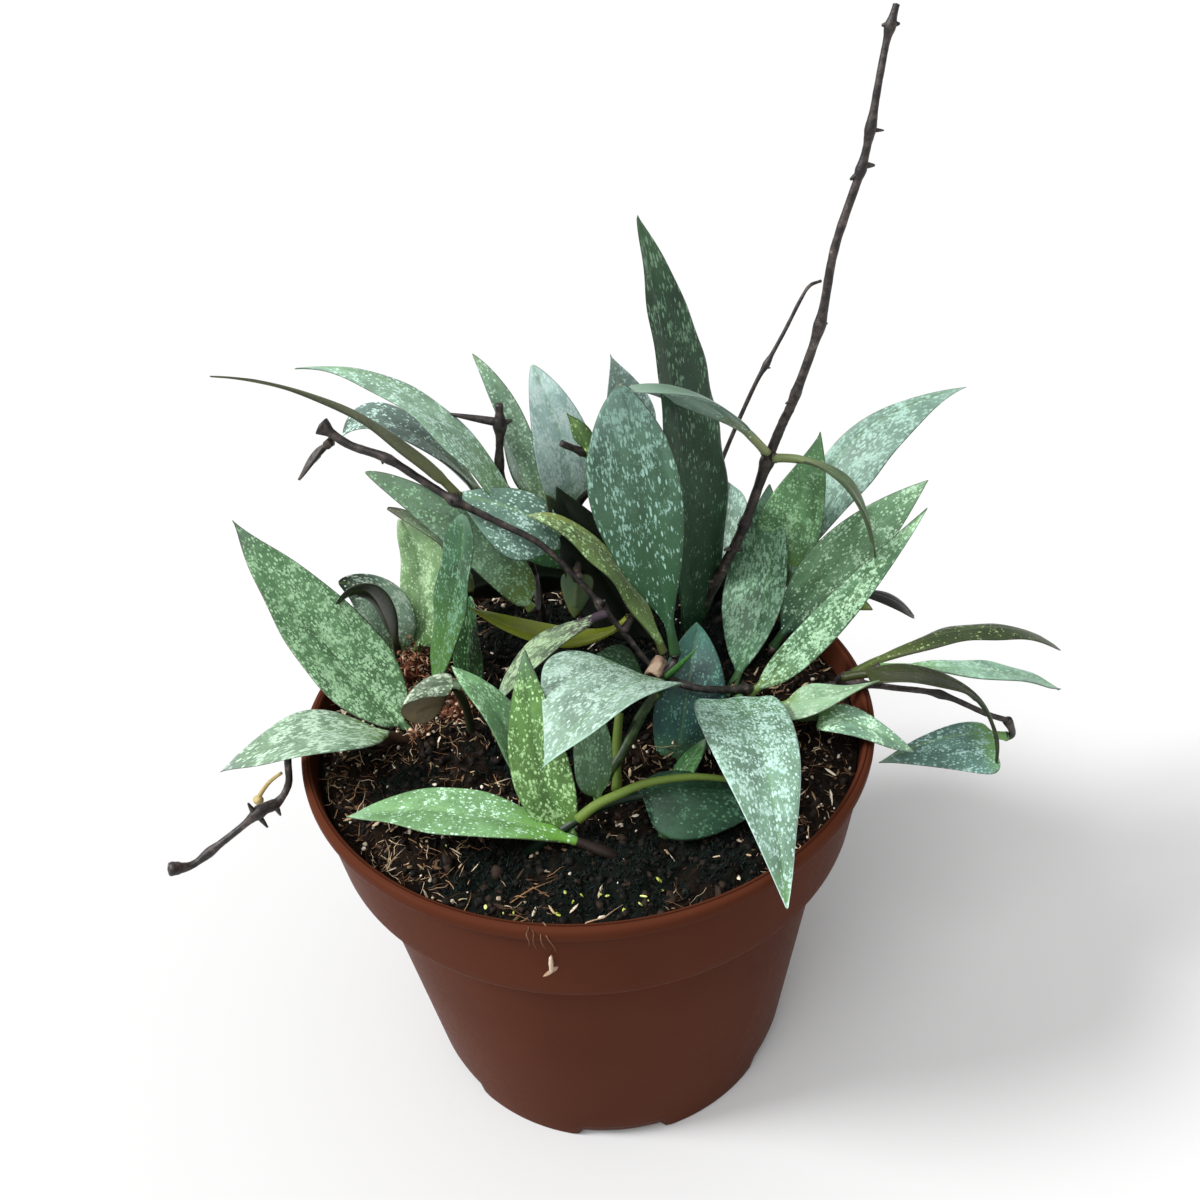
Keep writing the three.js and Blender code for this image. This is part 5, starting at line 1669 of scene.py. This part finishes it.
@dataclass(frozen=True)
class Details:
    """Small growths and scraps that the photo shows on the stems and the pot."""

    stub_ends: tuple[Vec, Vec] = ((16.4, 3.2, 99.8), (14.0, -1.4, 99.2))
    # The stub's section: the share of the way to its end, and the radius. Its end dips into a hole.
    stub_section: tuple[tuple[float, float], ...] = (
        (0, 1.5), (0.2, 1.55), (0.45, 1.45), (0.7, 1.6), (0.9, 1.75), (1.0, 1.5), (1.02, 1.1), (0.98, 0.75),
        (0.8, 0.55))
    shoot_line: tuple[Vec, Vec, Vec] = ((17.1, 1.5, 96.4), (17.6, -7, 104), (22.8, -8, 110.9))
    shoot_radius: float = 0.7
    standing_line: tuple[Vec, Vec, Vec] = ((4.6, -22.1, 88), (4.8, -18, 94), (6.4, -14, 101))
    arch_route: tuple[Vec, ...] = (
        (-3.4, -37, 96), (0.2, -36, 98.3), (4.4, -35, 99.5), (9.1, -34, 100.6), (14.8, -33.2, 100.6),
        (19.9, -32.7, 99.9), (25.6, -32.2, 98), (32, -31.5, 95))
    flower_route: tuple[Vec, ...] = (
        (-62.5, -13.5, 92.5), (-65, -13.2, 90.5), (-66.8, -13.2, 88.6), (-68.6, -13.8, 86.4))
    husk_bits: tuple[Vec, Vec] = ((-9.9, -58.6, 83.5), (-10.2, -58.2, 81.0))
    husk_sizes: tuple[Vec, Vec] = ((0.5, 0.35, 2.4), (0.35, 0.3, 2.0))
    thread_starts: tuple[Vec, ...] = (
        (-12.6, -57.2, 92.6), (-11.6, -57.0, 92.8), (-13.2, -57.2, 92.8), (-10.4, -57.0, 92.9))
    thread_falls: tuple[Vec, ...] = ((0.4, 0.4, -3.6), (0.9, 0.6, -4.4), (-0.4, 0.5, -2.6), (1.2, 0.2, -5.0))

    ROWS = 14
    SIDES = 12

    def stub(self) -> Solid:
        """The pale corky stub on the runner: its section turned round its axis, with rough sides.

        Returns:
            The stub, with painted shade darkening its hole.
        """
        base, end = np.array(self.stub_ends)
        t, radius = np.array(self.stub_section).T
        axis = unit(end - base)
        side = unit(np.cross(axis, (0, 0, 1)))
        cosine, sine = circle(20).T[..., None]
        spoke = cosine * side + sine * np.cross(axis, side)
        centre = base + (end - base) * t[:, None]
        rough = 1 + 0.08 * ripples(centre[:, None] + spoke * 1.5, 1.6, 8)
        rings = centre[:, None] + (radius[:, None] * rough)[..., None] * spoke
        # Painted shade: the rings inside the hole are darkened.
        shade = np.clip(0.62 + 0.16 * ripples(rings, 1.1, 9) - 0.6 * (radius < 1.2)[:, None], 0, 1)
        return Solid.skin(rings[None], base[None], centre[None, -1], {"shade": shade[None]})

    def shaded(self, solid: Solid, shade: float) -> Solid:
        """The solid with one shade all over."""
        return replace(solid, marks={"shade": np.full(len(solid.points), shade)})

    def shoot(self) -> Solid:
        """The bright new shoot beside the stub, a thin blade whose radius goes as a sine.

        Returns:
            The shoot.
        """
        t = np.linspace(0, 1, self.ROWS)
        radius = self.shoot_radius * np.sin(np.pi * (0.22 + 0.76 * t)) + 0.04
        return self.shaded(tube(bent(*np.array(self.shoot_line), t), radius, self.SIDES), 0.5)

    def petioles(self) -> Solid:
        """Bare yellow-green stalks: one stands low in the middle, and one arches over the front.

        Returns:
            Both stalks.
        """
        t = np.linspace(0, 1, self.ROWS)
        standing = tube(bent(*np.array(self.standing_line), t), 1.15 - 0.3 * t, self.SIDES)
        arch = smooth_route(np.array(self.arch_route), 4)
        return self.shaded(Solid.joined([standing, tube(arch, np.linspace(1.0, 0.5, len(arch)), self.SIDES)]), 0.5)

    def flower_stalk(self) -> Solid:
        """The dry flower stalk on the trailing stem: a thin stalk with a knob at its end.

        Returns:
            The stalk.
        """
        path = smooth_route(np.array(self.flower_route), 5)
        stalk = self.shaded(tube(path, np.linspace(0.35, 0.5, len(path)), 10), 0.55)
        knob = lump(6, 9, 0.12).scattered(path[-1:] + (0, 0, -0.4), turns(1, np.random.default_rng(4)),
                                          np.array([[1.0, 1.0, 1.4]]), np.array([0.6]))
        return Solid.joined([stalk, knob])

    def pot_scraps(self) -> Solid:
        """The papery husk on the collar and the fibres that hang over the lip above it.

        Returns:
            The scraps.
        """
        dice = np.random.default_rng(SEED + 9)
        husk = lump(6, 8, 0.2).scattered(np.array(self.husk_bits), turns(2, dice, 0.1), np.array(self.husk_sizes),
                                         np.array([0.8, 0.6]))
        threads = hairs(np.array(self.thread_starts), np.array([(0.1, -1, 0.3)] * 4), np.full(4, 4.0),
                        np.full(4, 0.16), np.array(self.thread_falls), np.array([0.1, 0.25, 0.15, 0.3]), rows=10)
        return Solid.joined([husk, threads])

    def dress(self) -> None:
        """Builds each of them in its finish."""
        for name, solid, tones, slot in (
            # Cork: pale brown, dull, with painted shade in its hole.
            ("cork_stub", self.stub(), ("33251c", "947a66", "c4ae98"), Slot.BARK),
            # Young shoot: fresh green.
            ("new_shoot", self.shoot(), ("1c4018", "2f5c28", "86a86c"), Slot.FRESH),
            # Bare leaf stalks: yellow-green.
            ("bare_petioles", self.petioles(), ("3a5220", "5c722e", "8a8c42"), Slot.LIME),
            # Dry flower stalk: straw.
            ("flower_stalk", self.flower_stalk(), ("6b5a34", "a8935a", "d6c69a"), Slot.BARK),
            # Papery husk and coir: brown to nearly white.
            ("pot_scraps", self.pot_scraps(), ("3a2618", "8a6a50", "d8c6b0"), Slot.SOIL),
        ):
            solid.to_object(name, Litter(tones, 0.6).material(name + "_skin"), slot)


# ------------------------------------------------------------------- studio


@dataclass(frozen=True)
class Studio:
    """Camera, lights and floor."""

    eye: Vec = (0.0, -180.6, 243.6)
    yaw: float = 1.42
    pitch: float = 34.62
    roll: float = -4.03
    lens: float = 33.0
    # Each sun: azimuth, height, width and power. The first throws the shadow on the floor.
    suns: tuple[tuple[float, float, float, float], ...] = ((187.0, 43.0, 16.0, 3.2), (238.0, 58.0, 30.0, 1.3))
    horizon: float = 0.3
    zenith: float = 1.0
    floor_tone: float = 0.57
    floor_reach: float = 12.0  # m, past where the camera sees its edge

    def camera(self) -> None:
        """Places the camera: ahead from yaw and pitch, then rolled about that line."""
        yaw, pitch, roll = np.radians((self.yaw, self.pitch, self.roll))
        ahead = np.array([np.sin(yaw) * np.cos(pitch), np.cos(yaw) * np.cos(pitch), -np.sin(pitch)])
        right = np.array([np.cos(yaw), -np.sin(yaw), 0])
        up = np.cross(right, ahead)
        right, up = right * np.cos(roll) + up * np.sin(roll), up * np.cos(roll) - right * np.sin(roll)
        lens = bpy.data.cameras.new("camera")
        lens.sensor_width, lens.lens, lens.clip_start, lens.clip_end = 36, self.lens, 0.01, 100
        made = bpy.data.objects.new("camera", lens)
        matrix = np.eye(4)
        matrix[:3, 0], matrix[:3, 1], matrix[:3, 2], matrix[:3, 3] = right, up, -ahead, np.array(self.eye) * MM
        made.matrix_world = Matrix(matrix.tolist())
        bpy.context.scene.collection.objects.link(made)
        bpy.context.scene.camera = made

    def light(self) -> None:
        """Two soft suns and a white sky, which is dimmer towards the horizon for all but the camera."""
        for number, (azimuth, height, width, power) in enumerate(self.suns):
            sun = bpy.data.lights.new(f"sun_{number}", "SUN")
            sun.energy, sun.angle = power, np.radians(width)
            made = bpy.data.objects.new(f"sun_{number}", sun)
            turn, lift = np.radians((azimuth, height))
            towards = np.array([np.cos(lift) * np.cos(turn), np.cos(lift) * np.sin(turn), np.sin(lift)])
            side = unit(np.cross((0, 0, 1), towards))
            matrix = np.eye(4)
            matrix[:3, 0], matrix[:3, 1], matrix[:3, 2] = side, np.cross(towards, side), towards
            made.matrix_world = Matrix(matrix.tolist())
            bpy.context.scene.collection.objects.link(made)
        world = bpy.data.worlds.new("studio")
        world.use_nodes = True
        bpy.context.scene.world = world
        tree = world.node_tree
        sky = tree.nodes["Background"]
        seen = add(tree, "LightPath", take="Is Camera Ray")
        height = add(tree, "SeparateXYZ", {0: add(tree, "TexCoord", take="Generated")}, take="Z")
        dome = add(tree, "MapRange", {"Value": height, "To Min": self.horizon, "To Max": self.zenith})
        power = add(tree, "Math", {0: seen, 1: dome}, operation="MAXIMUM")
        tree.links.new(power, sky.inputs["Strength"])
        sky.inputs["Color"].default_value = (1, 1, 1, 1)
        bpy.context.scene.view_settings.view_transform = "Standard"

    def floor(self) -> None:
        """A wide, plain, pale, matt floor."""
        material, _, shader = finish("studio_floor", 0.9, 1.3)
        shader.inputs["Base Color"].default_value = (*[self.floor_tone] * 3, 1)
        mesh = bpy.data.meshes.new("floor")
        far = self.floor_reach
        mesh.from_pydata([(-far, -far, 0), (far, -far, 0), (far, far, 0), (-far, far, 0)], [], [(0, 1, 2, 3)])
        mesh.materials.append(material)
        made = bpy.data.objects.new("floor", mesh)
        bpy.context.scene.collection.objects.link(made)


def main() -> None:
    """Builds the studio and the plant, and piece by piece."""
    studio = Studio()
    studio.camera()
    studio.light()
    studio.floor()
    Pot().dress()
    Soil().dress()
    leaves = [*LEFT_LEAVES, *BACK_LEAVES, *CENTRE_LEAVES, *FRONT_LEAVES, *RIGHT_LEAVES, *SMALL_LEAVES]
    for leaf in leaves:
        leaf.dress()
    bark = Bark().material("hoya_bark")
    green = Bark(dark="26381a", worn="3f5a28", pale="6a7f44").material("hoya_bark_green")
    for stem in STEMS:
        stem.dress(leaves, green if stem.fresh else bark)
    Details().dress()


if __name__ == "__main__":
    main()
